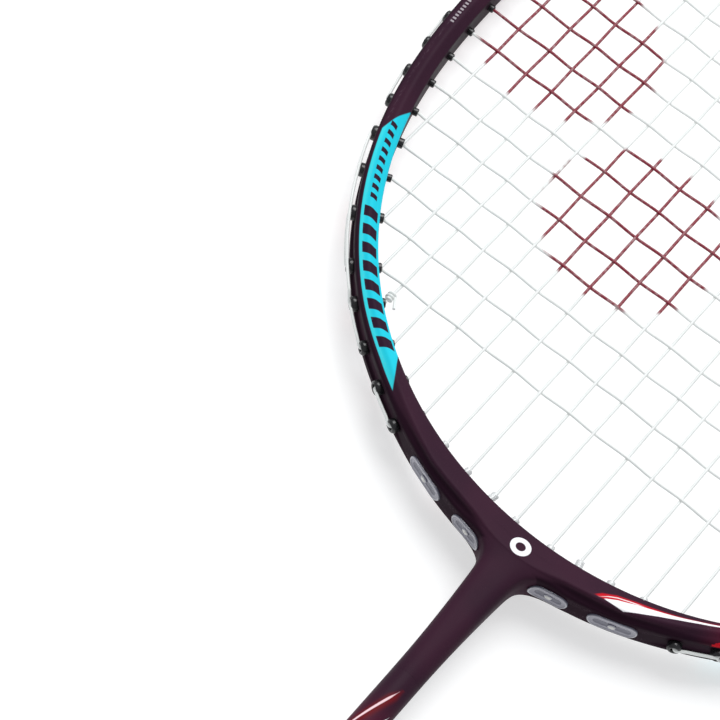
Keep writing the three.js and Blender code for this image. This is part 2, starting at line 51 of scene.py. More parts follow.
# ------------------------------------------------------------------ driving dimensions, as in the CAD
FIT_GAP = 0.3

HEAD_HALF_WIDTH = 89.5
HEAD_WIDEST_Y = 555.0
THROAT_REACH, THROAT_POWERS = 120.75, (2.0, 2.6)       # powers in x and y
TIP_REACH, TIP_POWERS = 117.4, (2.35, 2.7)

HOOP_HALF_WIDTH = 2.6
SHOULDER_Z = 3.55          # where the hoop's inner side turns into its face
RIDGE_U, RIDGE_Z = -0.3, 5.3
EDGE_Z = 3.9               # where the face meets the outer side
GROOVE_LIP_Z, GROOVE_FLOOR_Z, GROOVE_DEPTH = 2.15, 1.6, 0.7
GROOVE_RUN_OUT = (30.0, 38.0)
THROAT_SWELL, THROAT_SWELL_REACH, SWELL_TAPER = 2.6, 47.0, 1.6

SEAM_Y = 395.0             # where the throat joint meets the shaft
SPIGOT_RADIUS, SPIGOT_LENGTH = 2.2, 25.0
SHAFT_RADIUS, SHAFT_WALL = 3.45, 0.95
SHAFT_BOTTOM_Y = 80.0

CORE_HALF_X, CORE_HALF_Z = 11.2, 10.1
CORE_BOTTOM_Y, CORE_TOP_Y = 4.0, 165.0
WRAP_THICKNESS = 1.6
BUTT_FLARE = ((0, 1.7), (8, 0.9), (22, 0))
BUTT_CAP_THICKNESS = 3.7
BADGE_RADIUS, BADGE_THICKNESS = 7.5, 1.2
TAPE_BOTTOM_Y, TAPE_TOP_Y = 156.0, 168.0

STRING_RADIUS = 0.35
MAIN_SPACING = 7.5
MAINS_PER_SIDE = 11
CROSS_COUNT = 22
LOWEST_CROSS_Y, CROSS_SPACING = 467.0, 8.7
CROSS_EXTRA, CROSS_EXTRA_FADE = 1.5, 0.45

BARREL_TIP = -3.8
HEAD_THICKNESS = 1.6
NARROW = {"bore": 0.65, "barrel": 0.9, "head": 1.6}
WIDE = {"bore": 0.95, "barrel": 1.15, "head": 1.75}
SHARED_HOLES = {           # mains that share a cross's hole, by the cross's index
    "throat": {9: 0, 10: 1, 11: 3},
    "tip": {8: 21, 9: 20, 10: 19, 11: 17},
}
PADDED_MAINS = 4           # the mains on each side that pass a throat pad
WIDE_MAINS = {"throat": (6, 8), "tip": (6,)}           # holes that a tied-off end shares

PAD_HEIGHT, PAD_PROUD, PAD_LEAN = 4.2, 0.6, 0.222
PAD_STRING_SUNK = 1.6      # how far the string's run between two barrels lies below the pad's face
PAD_BARREL_SUNK = 0.9
PAD_PLACES = (
    {"mains": (1, 2), "x": 10.1, "half": 3.4, "length": 9.4, "reach": 11.0, "trim": 1.2},
    {"mains": (3, 4), "x": 24.3, "half": 3.75, "length": 10.8, "reach": 9.6, "trim": 0.3},
)


def smoothstep(low, high, value):
    share = np.clip((np.asarray(value, float) - low) / (high - low), 0, 1)
    return share * share * (3 - 2 * share)


# ------------------------------------------------------------------ camera and light
LENS, SENSOR = 149.15, 36.0
CAMERA_PLACE = (61.6, 143.6, 536.2)
CAMERA_RIGHT = (0.774, 0.607, 0.179)
CAMERA_UP = (-0.607, 0.631, 0.484)

SOFTBOX_PLACE, SOFTBOX_AIM = (-0.25, 1.2, 1.25), (0, 0.45, 0)      # metres
SOFTBOX_SIZE, SOFTBOX_POWER = 1.3, 24
STUDIO_COLOUR, STUDIO_STRENGTH = (0.94, 0.96, 1.0, 1), 0.42


def make_camera():
    right = Vector(CAMERA_RIGHT).normalized()
    back = right.cross(Vector(CAMERA_UP)).normalized()
    axes = Matrix((right, back.cross(right), back)).transposed().to_4x4()
    data = bpy.data.cameras.new("camera")
    data.lens, data.sensor_width = LENS, SENSOR
    data.clip_start, data.clip_end = 0.01, 20
    camera = bpy.data.objects.new("camera", data)
    camera.matrix_world = Matrix.Translation(Vector(CAMERA_PLACE) * MM) @ axes
    bpy.context.scene.collection.objects.link(camera)
    bpy.context.scene.camera = camera


def make_lights():
    data = bpy.data.lights.new("overhead_softbox", "AREA")
    data.shape, data.size, data.energy = "DISK", SOFTBOX_SIZE, SOFTBOX_POWER
    light = bpy.data.objects.new("overhead_softbox", data)
    light.location = SOFTBOX_PLACE
    towards = Vector(SOFTBOX_PLACE) - Vector(SOFTBOX_AIM)
    light.rotation_euler = towards.to_track_quat("Z", "Y").to_euler()
    bpy.context.scene.collection.objects.link(light)
    world = bpy.data.worlds.new("studio")
    world.use_nodes = True
    background = world.node_tree.nodes["Background"]
    background.inputs["Color"].default_value = STUDIO_COLOUR
    background.inputs["Strength"].default_value = STUDIO_STRENGTH
    bpy.context.scene.world = world
    bpy.context.scene.view_settings.view_transform = "Standard"


# ------------------------------------------------------------------ meshes
def make_object(name, points, faces, sharp_angle=40.0):
    """A mesh object from millimetre points. Edges sharper than the angle stay crisp."""
    mesh = bpy.data.meshes.new(name)
    mesh.from_pydata((np.asarray(points, float) * MM).tolist(), [], faces)
    body = bmesh.new()
    body.from_mesh(mesh)
    bmesh.ops.recalc_face_normals(body, faces=body.faces)
    body.to_mesh(mesh)
    body.free()
    mesh.polygons.foreach_set("use_smooth", [True] * len(mesh.polygons))
    mesh.set_sharp_from_angle(angle=math.radians(sharp_angle))
    piece = bpy.data.objects.new(name, mesh)
    bpy.context.scene.collection.objects.link(piece)
    return piece


def add_attribute(piece, name, values):
    attribute = piece.data.attributes.new(name, "FLOAT", "POINT")
    attribute.data.foreach_set("value", np.asarray(values, np.float32))


def finish_piece(piece, material, slot, node):
    """Rides the piece on the racket's one body and lets it stand for its CAD node."""
    piece.data.materials.append(material)
    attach(piece, BODY)
    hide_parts(node)
    return piece


def strip(a, b):
    """Quads between two closed rings of point numbers."""
    following = [*range(1, len(a)), 0]
    return [(a[k], a[n], b[n], b[k]) for k, n in enumerate(following)]


def grid_faces(rows, columns, close_rows):
    """Quads over rows of closed rings of points."""
    rings = [range(row * columns, (row + 1) * columns) for row in range(rows)]
    if close_rows:
        rings.append(rings[0])
    return [face for a, b in zip(rings[:-1], rings[1:]) for face in strip(a, b)]


class Shells:
    """Gathers closed shells into one piece."""

    def __init__(self):
        self.points, self.faces = [], []

    def rings(self, rings, place=None, closed=False):
        """A loft through rings of equal count: a torus if closed, or else capped at both ends."""
        first, count = len(self.points), len(rings[0])
        faces = grid_faces(len(rings), count, closed)
        if not closed:
            last = (len(rings) - 1) * count
            faces += [tuple(range(count)), tuple(range(last, last + count))]
        for ring in rings:
            self.points += [tuple(place @ Vector(point)) if place else tuple(point) for point in ring]
        self.faces += [tuple(first + corner for corner in face) for face in faces]
        return self

    def lathe(self, profile, sides, place=None):
        """A closed profile of (radius, y) turned about local Y."""
        turns = [2 * math.pi * k / sides for k in range(sides)]
        return self.rings([
            [(radius * math.cos(turn), y, radius * math.sin(turn)) for turn in turns]
            for radius, y in profile
        ], place, closed=True)

    def finish(self, name, sharp_angle, *roles):
        return finish_piece(make_object(name, self.points, self.faces, sharp_angle), *roles)


def tube_rings(path, radius, sides):
    """Rings round a path, carried along it without twist."""
    tangents = np.gradient(path, axis=0)
    tangents /= np.linalg.norm(tangents, axis=1)[:, None]
    side = np.cross(tangents[0], (0.3, 0.2, 1.0))      # any direction the path doesn't start in
    turns = 2 * np.pi * np.arange(sides) / sides
    rings = []
    for point, tangent in zip(path, tangents):
        side = side - tangent * (side @ tangent)
        side /= np.linalg.norm(side)
        other = np.cross(tangent, side)
        rings.append(point + radius * (np.outer(np.cos(turns), side) + np.outer(np.sin(turns), other)))
    return rings


def rounded(points, radii, steps=4, closed=False):
    """A polyline whose corners are turned into arcs. A corner of radius 0 stays a point."""
    points = np.asarray(points, float)
    count = len(points)
    radii = np.broadcast_to(radii, count)
    result = []
    for i, corner in enumerate(points):
        if not closed and i in (0, count - 1) or radii[i] == 0:
            result.append(corner)
            continue
        before, after = points[i - 1] - corner, points[(i + 1) % count] - corner
        length_before, length_after = np.linalg.norm(before), np.linalg.norm(after)
        before, after = before / length_before, after / length_after
        opening = math.acos(np.clip(before @ after, -1, 1))
        sweep = math.pi - opening
        if sweep < 1e-3:
            result += [corner] * (steps + 1)
            continue
        reach = min(radii[i] / math.tan(opening / 2), 0.49 * length_before, 0.49 * length_after)
        radius = reach * math.tan(opening / 2)
        bisector = (before + after) / np.linalg.norm(before + after)
        centre = corner + bisector * radius / math.sin(opening / 2)
        start, end = corner + before * reach - centre, corner + after * reach - centre
        for share in (step / steps for step in range(steps + 1)):
            arc = start * math.sin((1 - share) * sweep) + end * math.sin(share * sweep)
            result.append(centre + arc / math.sin(sweep))
    return np.array(result)


# ------------------------------------------------------------------ the hoop's centre line
OUTLINE_SAMPLES = 9600


class CentreLine:
    """The closed centre line by arc length s: 0 is the throat's middle and the +X side is positive."""

    def __init__(self):
        angles = -np.pi / 2 + 2 * np.pi * np.arange(OUTLINE_SAMPLES + 1) / OUTLINE_SAMPLES
        c, s = np.cos(angles), np.sin(angles)
        power_x, power_y = (np.where(s < 0, *powers) for powers in zip(THROAT_POWERS, TIP_POWERS))
        reach = np.where(s < 0, THROAT_REACH, TIP_REACH)
        self.x = np.sign(c) * HEAD_HALF_WIDTH * np.abs(c) ** (2 / power_x)
        self.y = HEAD_WIDEST_Y + np.sign(s) * reach * np.abs(s) ** (2 / power_y)
        steps = np.hypot(np.diff(self.x), np.diff(self.y))
        self.arc = np.concatenate([[0], np.cumsum(steps)])
        self.length = self.arc[-1]

    def point(self, s):
        s = np.mod(s, self.length)
        return np.stack([np.interp(s, self.arc, self.x), np.interp(s, self.arc, self.y)], -1)

    def outward(self, s, reach=0.6):
        along = self.point(np.asarray(s) + reach) - self.point(np.asarray(s) - reach)
        along /= np.linalg.norm(along, axis=-1, keepdims=True)
        return np.stack([along[..., 1], -along[..., 0]], -1)


line = CentreLine()
TIP_S = line.length / 2


def on_hoop(s, u, z):
    """The point u outside the centre line at arc length s."""
    point = line.point(s) + line.outward(s) * np.asarray(u)[..., None]
    return np.concatenate([point, np.broadcast_to(np.asarray(z, float), np.shape(s))[..., None]], -1)


def throat_swell(s):
    x, y = np.moveaxis(line.point(s), -1, 0)
    share = np.clip(np.abs(x) / THROAT_SWELL_REACH, 0, 1)
    return np.where(y > HEAD_WIDEST_Y, 0, THROAT_SWELL * np.cos(np.pi / 2 * share) ** SWELL_TAPER)


def groove_share(s):
    x, y = np.moveaxis(line.point(s), -1, 0)
    return np.where(y > HEAD_WIDEST_Y, 1, smoothstep(*GROOVE_RUN_OUT, np.abs(x)))


def head_seat(s):
    return HOOP_HALF_WIDTH + throat_swell(s) - GROOVE_DEPTH * groove_share(s) + FIT_GAP


def head_face(s):
    return head_seat(s) + HEAD_THICKNESS


# ------------------------------------------------------------------ where the strings pass the hoop
def cross_y(index):
    fade = CROSS_EXTRA_FADE
    return LOWEST_CROSS_Y + CROSS_SPACING * index + CROSS_EXTRA * (1 - fade ** index) / (1 - fade)


def make_holes():
    """Every grommet as name: (s, kind)."""
    s = np.linspace(0, TIP_S, 4000)
    x, y = on_hoop(s, np.full_like(s, BARREL_TIP), 0)[:, :2].T
    widest = x.argmax()
    right = []
    for main in range(5, 9):
        place = np.interp(MAIN_SPACING * (main - 0.5), x[:widest], s[:widest])
        right.append((f"throat_main_{main}", place, main in WIDE_MAINS["throat"]))
    shared = {index for end in SHARED_HOLES.values() for index in end.values()}
    for index in range(CROSS_COUNT):
        right.append((f"cross_{index + 1}", np.interp(cross_y(index), y, s), index in shared))
    for main in range(7, 0, -1):
        place = np.interp(-MAIN_SPACING * (main - 0.5), -x[widest:], s[widest:])
        right.append((f"tip_main_{main}", place, main in WIDE_MAINS["tip"]))
    holes = {}
    for key, place, wide in right:
        kind = WIDE if wide else NARROW
        holes[f"right_{key}"] = (float(place), kind)
        holes[f"left_{key}"] = (-float(place), kind)
    return holes


HOLES = make_holes()


def side_name(side):
    return "left" if side < 0 else "right"


def outward_place(point, outward):
    """A placement at the point whose local +Y points outwards."""
    turn = math.atan2(outward[1], outward[0]) - math.pi / 2
    return Matrix.Translation(Vector((point[0], point[1], 0))) @ Matrix.Rotation(turn, 4, "Z")


def make_pad_sites():
    s = np.linspace(0, 60, 2000)
    side_points = on_hoop(s, HOOP_HALF_WIDTH + throat_swell(s), 0)
    sites = []
    for side in (-1, 1):
        for place in PAD_PLACES:
            surface = side_points[np.abs(side_points[:, 0] - place["x"]).argmin()]
            outward = (PAD_LEAN * side, -math.sqrt(1 - PAD_LEAN ** 2))
            matrix = outward_place((surface[0] * side, surface[1]), outward)
            sites.append({**place, "side": side, "place": matrix})
    return sites


PADS = make_pad_sites()

# ------------------------------------------------------------------ the head frame
HOOP_STEP, THROAT_STEP = 2.4, 0.9
THROAT_ZONE = 48.0         # arc length either side of the middle with the finer steps
SECTION_STEPS = 5          # steps in the arc round each corner of the hoop's section
SECTION_SPLIT = 3          # steps between two arcs
SHOULDER_ROUNDING, FLANK_ROUNDING, EDGE_ROUNDING = 0.8, 1.2, 0.9
GROOVE_LIP_ROUNDING, GROOVE_FLOOR_ROUNDING = 0.25, 0.5
# by distance from the middle: the face's ridge, which crosses to the stem's side at the throat, the
# height of the face's outer edge, how far the flank between the two is scooped out, and the ridge's
# rounding
RIDGE_PATH = (
    (0, 4.5), (4, 4.3), (7, 3.7), (11, 3.1), (16, 2.8), (24, 2.75), (28, 2.2), (36, 1.1), (46, RIDGE_U),
)
EDGE_PATH = ((0, 5.0), (5, 5.0), (8, 4.3), (11, 3.6), (15, 3.2), (33, 3.2), (46, EDGE_Z))
SCOOP_PATH = ((0, 0.0), (5, 0.0), (9, 1.0), (22, 1.0), (34, 0.3), (46, 0.0))
ROUNDING_PATH = ((0, 1.2), (8, 0.6), (26, 0.6), (46, 1.5))

STEM_HALF = 7.5            # half the width over which the hoop opens into the stem
STEM_TOP_Y = 427.5
STEM_RINGS = 34
STEM_SQUARENESS = 1.3      # added to the power 2 of a round section at the stem's top
# how the stem's half width and half height grow above the seam: added, over what length, power
STEM_WIDENING, STEM_THICKENING = (1.45, 32.6, 2), (1.7, 35.0, 1.6)


def split_spans(points):
    """Adds points on the spans between the corners' arcs, so every section has the same count."""
    result = [points[0]]
    for i, (a, b) in enumerate(zip(points[:-1], points[1:])):
        steps = 1 if i % (SECTION_STEPS + 1) else SECTION_SPLIT
        result += [a + (b - a) * (k + 1) / steps for k in range(steps)]
    return np.array(result)


def corner_index(corner):
    """Index in the section of the first point of the arc round a corner, counted from 1."""
    return (corner - 1) * SECTION_STEPS + corner * SECTION_SPLIT


def hoop_section(s):
    """The closed section at arc length s, as points (u, z) from the inner side over the top face."""
    near = abs(float(line.point(s)[0])) if abs(s) < THROAT_ZONE else THROAT_ZONE
    ridge, edge_z, scoop, rounding = (
        float(np.interp(near, *zip(*path))) for path in (RIDGE_PATH, EDGE_PATH, SCOOP_PATH, ROUNDING_PATH)
    )
    edge = HOOP_HALF_WIDTH + float(throat_swell(s))
    floor = edge - GROOVE_DEPTH * float(groove_share(s))
    flank_u = ridge + (edge - ridge) * (0.5 - 0.2 * scoop)
    flank_z = RIDGE_Z + (edge_z - RIDGE_Z) * (0.5 + 0.3 * scoop)
    corners, radii = zip(
        ((-HOOP_HALF_WIDTH, 0), 0),
        ((-HOOP_HALF_WIDTH, SHOULDER_Z), SHOULDER_ROUNDING),
        ((ridge, RIDGE_Z), rounding),
        ((flank_u, flank_z), FLANK_ROUNDING),
        ((edge, edge_z), EDGE_ROUNDING),
        ((edge, GROOVE_LIP_Z), GROOVE_LIP_ROUNDING),
        ((floor, GROOVE_FLOOR_Z), GROOVE_FLOOR_ROUNDING),
        ((floor, 0), 0),
    )
    upper = split_spans(rounded(corners, radii, SECTION_STEPS))
    return np.vstack([upper, (upper * (1, -1))[-2:0:-1]])


def hoop_stations():
    near = np.linspace(-THROAT_ZONE, THROAT_ZONE, 2 * math.ceil(THROAT_ZONE / THROAT_STEP) + 1)
    far_count = math.ceil((line.length - 2 * THROAT_ZONE) / HOOP_STEP)
    far = np.linspace(THROAT_ZONE, line.length - THROAT_ZONE, far_count + 1)[1:-1]
    return np.concatenate([near, far])


def stem_half(y, growth):
    added, length, power = growth
    return SHAFT_RADIUS + added * np.clip((y - SEAM_Y) / length, 0, None) ** power


def stem_ring(y, c, s):
    power = 2 + STEM_SQUARENESS * float(smoothstep(SEAM_Y, STEM_TOP_Y, y))
    x = stem_half(y, STEM_WIDENING) * np.sign(c) * np.abs(c) ** (2 / power)
    z = stem_half(y, STEM_THICKENING) * np.sign(s) * np.abs(s) ** (2 / power)
    return np.stack([x, np.full_like(x, y), z], -1)


def circle_ring(radius, y, turns):
    return np.stack([radius * np.cos(turns), np.full_like(turns, y), radius * np.sin(turns)], -1)


def make_frame(material):
    """The hoop and the stem as one skin, with each point's place on the hoop as attributes."""
    stations = hoop_stations()
    signed = np.where(stations <= TIP_S, stations, stations - line.length)
    sections = [hoop_section(s) for s in signed]
    rows, columns = len(stations), len(sections[0])
    points = [point for s, (u, z) in zip(stations, (section.T for section in sections))
              for point in on_hoop(np.full_like(u, s), u, z)]
    along, across = list(np.repeat(signed, columns)), [u for section in sections for u in section[:, 0]]

    # the outer side opens into the stem between two stations
    xs = line.point(stations)[:, 0]
    middle = [i for i in range(rows) if abs(stations[i]) < THROAT_ZONE and abs(xs[i]) <= STEM_HALF]
    first, last = middle[0], middle[-1]
    top = corner_index(4)
    bottom = columns - top
    faces = [face for n, face in enumerate(grid_faces(rows, columns, close_rows=True))
             if not (first <= n // columns < last and top <= n % columns < bottom)]
    rim = [i * columns + top for i in range(first, last + 1)]
    rim += [last * columns + k for k in range(top + 1, bottom + 1)]
    rim += [i * columns + bottom for i in range(last - 1, first - 1, -1)]
    rim += [first * columns + k for k in range(bottom - 1, top, -1)]

    # the stem's rings run from that opening down to the shaft, and the spigot's go on inside it
    quarter = math.pi / 4
    angles = np.concatenate([
        np.linspace(start * quarter, (start - turn) * quarter, count, endpoint=False)
        for start, turn, count in ((3, 2, last - first), (1, 2, bottom - top),
                                   (-1, 2, last - first), (-3, 2, bottom - top))
    ])
    c, s = np.cos(angles), np.sin(angles)
    rim_points, opened = np.array([points[i] for i in rim]), stem_ring(STEM_TOP_Y, c, s)
    rings = [rim_points * (1 - share) + opened * share for share in (0.25, 0.5, 0.75)]
    rings += [stem_ring(y, c, s) for y in np.linspace(STEM_TOP_Y, SEAM_Y, STEM_RINGS)]
    rings += [circle_ring(SPIGOT_RADIUS, y, angles) for y in (SEAM_Y, SEAM_Y - SPIGOT_LENGTH)]
    previous = rim
    for ring in rings:
        current = range(len(points), len(points) + len(ring))
        faces += strip(previous, current)
        points += list(ring)
        along += list(ring[:, 0])
        across += [HOOP_HALF_WIDTH + THROAT_SWELL + 1] * len(ring)
        previous = current
    faces.append(tuple(previous))

    piece = make_object("carbon_head", relax_throat(np.array(points), faces), faces, 60)
    add_attribute(piece, "along", along)
    add_attribute(piece, "across", across)
    return finish_piece(piece, material, "frame_paint", "head_frame")


RELAX_ROUNDS = 30
RELAX_CORNERS = ((-6.3, 428.6), (6.3, 428.6))
RELAX_RADIUS = 7.0
RELAX_MIDDLE_Y = 428.5


def relax_throat(points, faces):
    """Lets the corners between stem and hoop settle into smooth fillets."""
    edges = {tuple(sorted(pair)) for face in faces if len(face) == 4
             for pair in zip(face, face[1:] + face[:1])}
    a, b = np.array(sorted(edges)).T
    middle_weight = 1 - smoothstep(2, 6, np.abs(points[:, 1] - RELAX_MIDDLE_Y))
    weight = middle_weight * (1 - smoothstep(6, 12, np.abs(points[:, 0])))
    for x, y in RELAX_CORNERS:
        distance = np.hypot(points[:, 0] - x, points[:, 1] - y)
        weight = np.maximum(weight, 1 - smoothstep(0.45 * RELAX_RADIUS, RELAX_RADIUS, distance))
    count = np.bincount(a, minlength=len(points)) + np.bincount(b, minlength=len(points))
    count = np.maximum(count, 1)[:, None]
    for _ in range(RELAX_ROUNDS):
        total = np.zeros_like(points)
        np.add.at(total, a, points[b])
        np.add.at(total, b, points[a])
        points = points + (total / count - points) * (0.5 * weight)[:, None]
    return points


# ------------------------------------------------------------------ strings
WEAVE = 0.24               # how far a string's centre leaves the bed's plane at a crossing
WEAVE_STEPS = 6
END_CLEARANCE = 2.2        # no weaving closer than this to a grommet
# the string's distance from the middle plane in a shared hole, in a loop and in the run to a tie-off
SHARED_LEVEL, LOOP_LEVEL, TIE_RUN_LEVEL = 0.42, 0.5, 1.35
RUN_CLEARANCE, RUN_STEP = 0.05, 2.0
BEND = 0.8                 # length beside a hole that its bend takes
BEND_RADIUS, BEND_ANGLE = 0.55, 25
STRING_SIDES = 8
KNOT_TURNS, KNOT_PITCH, KNOT_START, KNOT_STEPS = 2.3, 0.78, 0.9, 26
KNOT_RADIUS = 2.1 * STRING_RADIUS
TAIL_LENGTH, TAIL_RISE = 3.0, 0.5


def main_hole(side, main, end):
    shared = SHARED_HOLES[end]
    key = f"cross_{shared[main] + 1}" if main in shared else f"{end}_main_{main}"
    return f"{side_name(side)}_{key}"


def through_hole(name, level):
    """The string's two points in a grommet, inner end first. Only a wide bore has two levels."""
    s, kind = HOLES[name]
    z = level if kind is WIDE else 0.0
    return [on_hoop(s, BARREL_TIP, z), on_hoop(s, head_face(s) + RUN_CLEARANCE, z)]


def through_pad(side, main):
    pad = next(p for p in PADS if p["side"] == side and main in p["mains"])
    x = pad["half"] * (side if main == pad["mains"][0] else -side)
    ends = ((x, PAD_PROUD - pad["reach"], 0), (x, PAD_PROUD - PAD_STRING_SUNK, 0))
    return [np.array(pad["place"] @ Vector(end)) for end in ends]


def main_end(side, main, end):
    if end == "throat" and main <= PADDED_MAINS:
        return through_pad(side, main)
    return through_hole(main_hole(side, main, end), SHARED_LEVEL)


def run_between(name_a, name_b, level):
    """The run in the groove between two holes, at its level except beside them."""
    a, b = HOLES[name_a][0], HOLES[name_b][0]
    if abs(b - a) > TIP_S:
        b += line.length * np.sign(a - b)
    direction = np.sign(b - a)
    count = max(2, math.ceil(abs(b - a) / RUN_STEP))
    s = np.linspace(a + BEND * direction, b - BEND * direction, count + 1)
    s = s[1:-1] if len(s) > 3 else s
    return list(on_hoop(s, head_face(s) + RUN_CLEARANCE, level))


# every main from left to right, with the inner ends of its two grommets
MAIN_ORDER = [(-1, main) for main in range(MAINS_PER_SIDE, 0, -1)]
MAIN_ORDER += [(1, main) for main in range(1, MAINS_PER_SIDE + 1)]
MAIN_LINES = [[main_end(*main, end)[0] for end in ("throat", "tip")] for main in MAIN_ORDER]


def crossings_of_main(order):
    """Where the crosses pass a main, as its share from the throat and its height there."""
    (_, low, _), (_, high, _) = MAIN_LINES[order]
    return [
        ((cross_y(index) - low) / (high - low), WEAVE * (-1) ** (order + index))
        for index in range(CROSS_COUNT) if low + END_CLEARANCE < cross_y(index) < high - END_CLEARANCE
    ]


def crossings_of_cross(index, start, stop):
    found = []
    y = cross_y(index)
    for order, (low, high) in enumerate(MAIN_LINES):
        if low[1] + END_CLEARANCE < y < high[1] - END_CLEARANCE:
            x = low[0] + (high[0] - low[0]) * (y - low[1]) / (high[1] - low[1])
            found.append(((x - start[0]) / (stop[0] - start[0]), -WEAVE * (-1) ** (order + index)))
    return found


def woven(start, stop, crossings):
    """A straight string from start to stop that rises and dips at its crossings."""
    turns = [(0.0, start[2]), *sorted(crossings), (1.0, stop[2])]
    path = []
    for (share_a, z_a), (share_b, z_b) in zip(turns[:-1], turns[1:]):
        for part in (step / WEAVE_STEPS for step in range(WEAVE_STEPS)):
            point = start + (stop - start) * (share_a + (share_b - share_a) * part)
            point[2] = z_a + (z_b - z_a) * (0.5 - 0.5 * math.cos(math.pi * part))
            path.append(point)
    return path[1:]


def knot(start, toward):
    """A string's free end: a tail and a few turns round the main that starts there."""
    axis = (toward - start) / np.linalg.norm(toward - start)
    up = np.array((0, 0, 1.0))
    sideways = np.cross(axis, up)
    turns = np.linspace(0, 2 * math.pi * KNOT_TURNS, KNOT_STEPS)
    base = start + axis * KNOT_START
    helix = [
        base + axis * KNOT_PITCH * (turns[-1] - turn) / (2 * math.pi)
        + KNOT_RADIUS * (sideways * math.cos(turn) + up * math.sin(turn)) for turn in turns
    ]
    tail = helix[0] + sideways * TAIL_LENGTH * 0.6 - axis * TAIL_LENGTH + up * TAIL_RISE
    return [tail, (tail + helix[0]) / 2, *helix]


def half_mains(side):
    """The mains of one side, from the tie-off at the throat to the tip's middle."""
    tie, last = main_hole(side, 8, "throat"), main_hole(side, MAINS_PER_SIDE, "throat")
    path = knot(*MAIN_LINES[MAIN_ORDER.index((side, 8))]) + through_hole(tie, -SHARED_LEVEL)
    path += run_between(tie, last, TIE_RUN_LEVEL)
    for main in range(MAINS_PER_SIDE, 0, -1):
        ends = ("throat", "tip") if main % 2 else ("tip", "throat")
        entry, leave = main_end(side, main, ends[0])[::-1], main_end(side, main, ends[1])
        crossings = crossings_of_main(MAIN_ORDER.index((side, main)))
        if ends[0] == "tip":
            crossings = [(1 - share, z) for share, z in crossings]
        path += entry + woven(entry[1], leave[0], crossings) + leave
        under_pad = ends[1] == "throat" and main <= PADDED_MAINS
        if main > 1 and not under_pad:
            level = TIE_RUN_LEVEL if main == MAINS_PER_SIDE else LOOP_LEVEL
            path += run_between(*(main_hole(side, m, ends[1]) for m in (main, main - 1)), level)
    return path


def main_path():
    over_tip = run_between(main_hole(-1, 1, "tip"), main_hole(1, 1, "tip"), LOOP_LEVEL)
    return half_mains(-1) + over_tip + half_mains(1)[::-1]


def cross_path():
    first_tie, last_tie = "right_throat_main_6", "right_tip_main_6"
    tied_to = MAIN_LINES[MAIN_ORDER.index((1, 6))]
    path = knot(*tied_to) + through_hole(first_tie, -SHARED_LEVEL)
    path += run_between(first_tie, "right_cross_1", -TIE_RUN_LEVEL)
    for index in range(CROSS_COUNT):
        near, far = ("right", "left") if index % 2 == 0 else ("left", "right")
        entry = through_hole(f"{near}_cross_{index + 1}", -SHARED_LEVEL)[::-1]
        leave = through_hole(f"{far}_cross_{index + 1}", -SHARED_LEVEL)
        path += entry + woven(entry[1], leave[0], crossings_of_cross(index, entry[1], leave[0])) + leave
        if index + 1 < CROSS_COUNT:
            path += run_between(f"{far}_cross_{index + 1}", f"{far}_cross_{index + 2}", -LOOP_LEVEL)
    path += run_between(f"right_cross_{CROSS_COUNT}", last_tie, -TIE_RUN_LEVEL)
    path += through_hole(last_tie, -SHARED_LEVEL)[::-1]
    return path + knot(*tied_to[::-1])[::-1]


def make_string(name, path, node, material):
    """The string along its path, with its sharp bends at the grommets turned into small arcs."""
    points = np.array(path)
    before, after = points[1:-1] - points[:-2], points[2:] - points[1:-1]
    cosine = (before * after).sum(1) / np.linalg.norm(before, axis=1) / np.linalg.norm(after, axis=1)
    radii = np.zeros(len(points))
    radii[1:-1] = np.where(cosine < math.cos(math.radians(BEND_ANGLE)), BEND_RADIUS, 0)
    rings = tube_rings(rounded(points, radii), STRING_RADIUS, STRING_SIDES)
    Shells().rings(rings).finish(name, 80, material, "string_nylon", node)


# ------------------------------------------------------------------ grommets and pads
GROMMET_SIDES = 20
WEB_HALF, WEB_THICKNESS, WEB_CHAMFER = 0.45, 0.5, 0.15


def add_grommet(shells, name):
    s, kind = HOLES[name]
    bore, barrel, head = kind["bore"], kind["barrel"], kind["head"]
    seat, face = float(head_seat(s)), float(head_face(s))
    shells.lathe([
        (bore, BARREL_TIP), (barrel - 0.12, BARREL_TIP), (barrel, BARREL_TIP + 0.12),
        (barrel, seat), (head - 0.1, seat), (head, seat + 0.1), (head, face - 0.55),
        (head - 0.12, face - 0.22), (head - 0.4, face), (bore + 0.32, face),
        (bore + 0.12, face - 0.12), (bore, face - 0.4),
    ], GROMMET_SIDES, outward_place(line.point(s), line.outward(s)))


def add_web(shells, name_a, name_b):
    """The thin web that joins two grommets moulded as a pair."""
    rings = []
    for s in np.linspace(HOLES[name_a][0], HOLES[name_b][0], 8):
        inner, half, chamfer = head_seat(s), WEB_HALF, WEB_CHAMFER
        outer = inner + WEB_THICKNESS
        corners = ((inner, -half), (outer - chamfer, -half), (outer, chamfer - half),
                   (outer, half - chamfer), (outer - chamfer, half), (inner, half))
        rings.append([tuple(on_hoop(s, u, z)) for u, z in corners])
    shells.rings(rings)


def make_grommets(material):
    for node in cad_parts:
        if not node.startswith("grommet_"):
            continue
        _, side, *rest = node.split("_")
        key = "_".join(word for word in rest if not word.isdigit())
        names = [f"{side}_{key}_{word}" for word in rest if word.isdigit()]
        shells = Shells()
        for name in names:
            add_grommet(shells, name)
        if len(names) == 2:
            add_web(shells, *names)
        shells.finish(f"{'_'.join([side, *rest])}_barrels", 35, material, "grommet_nylon", node)


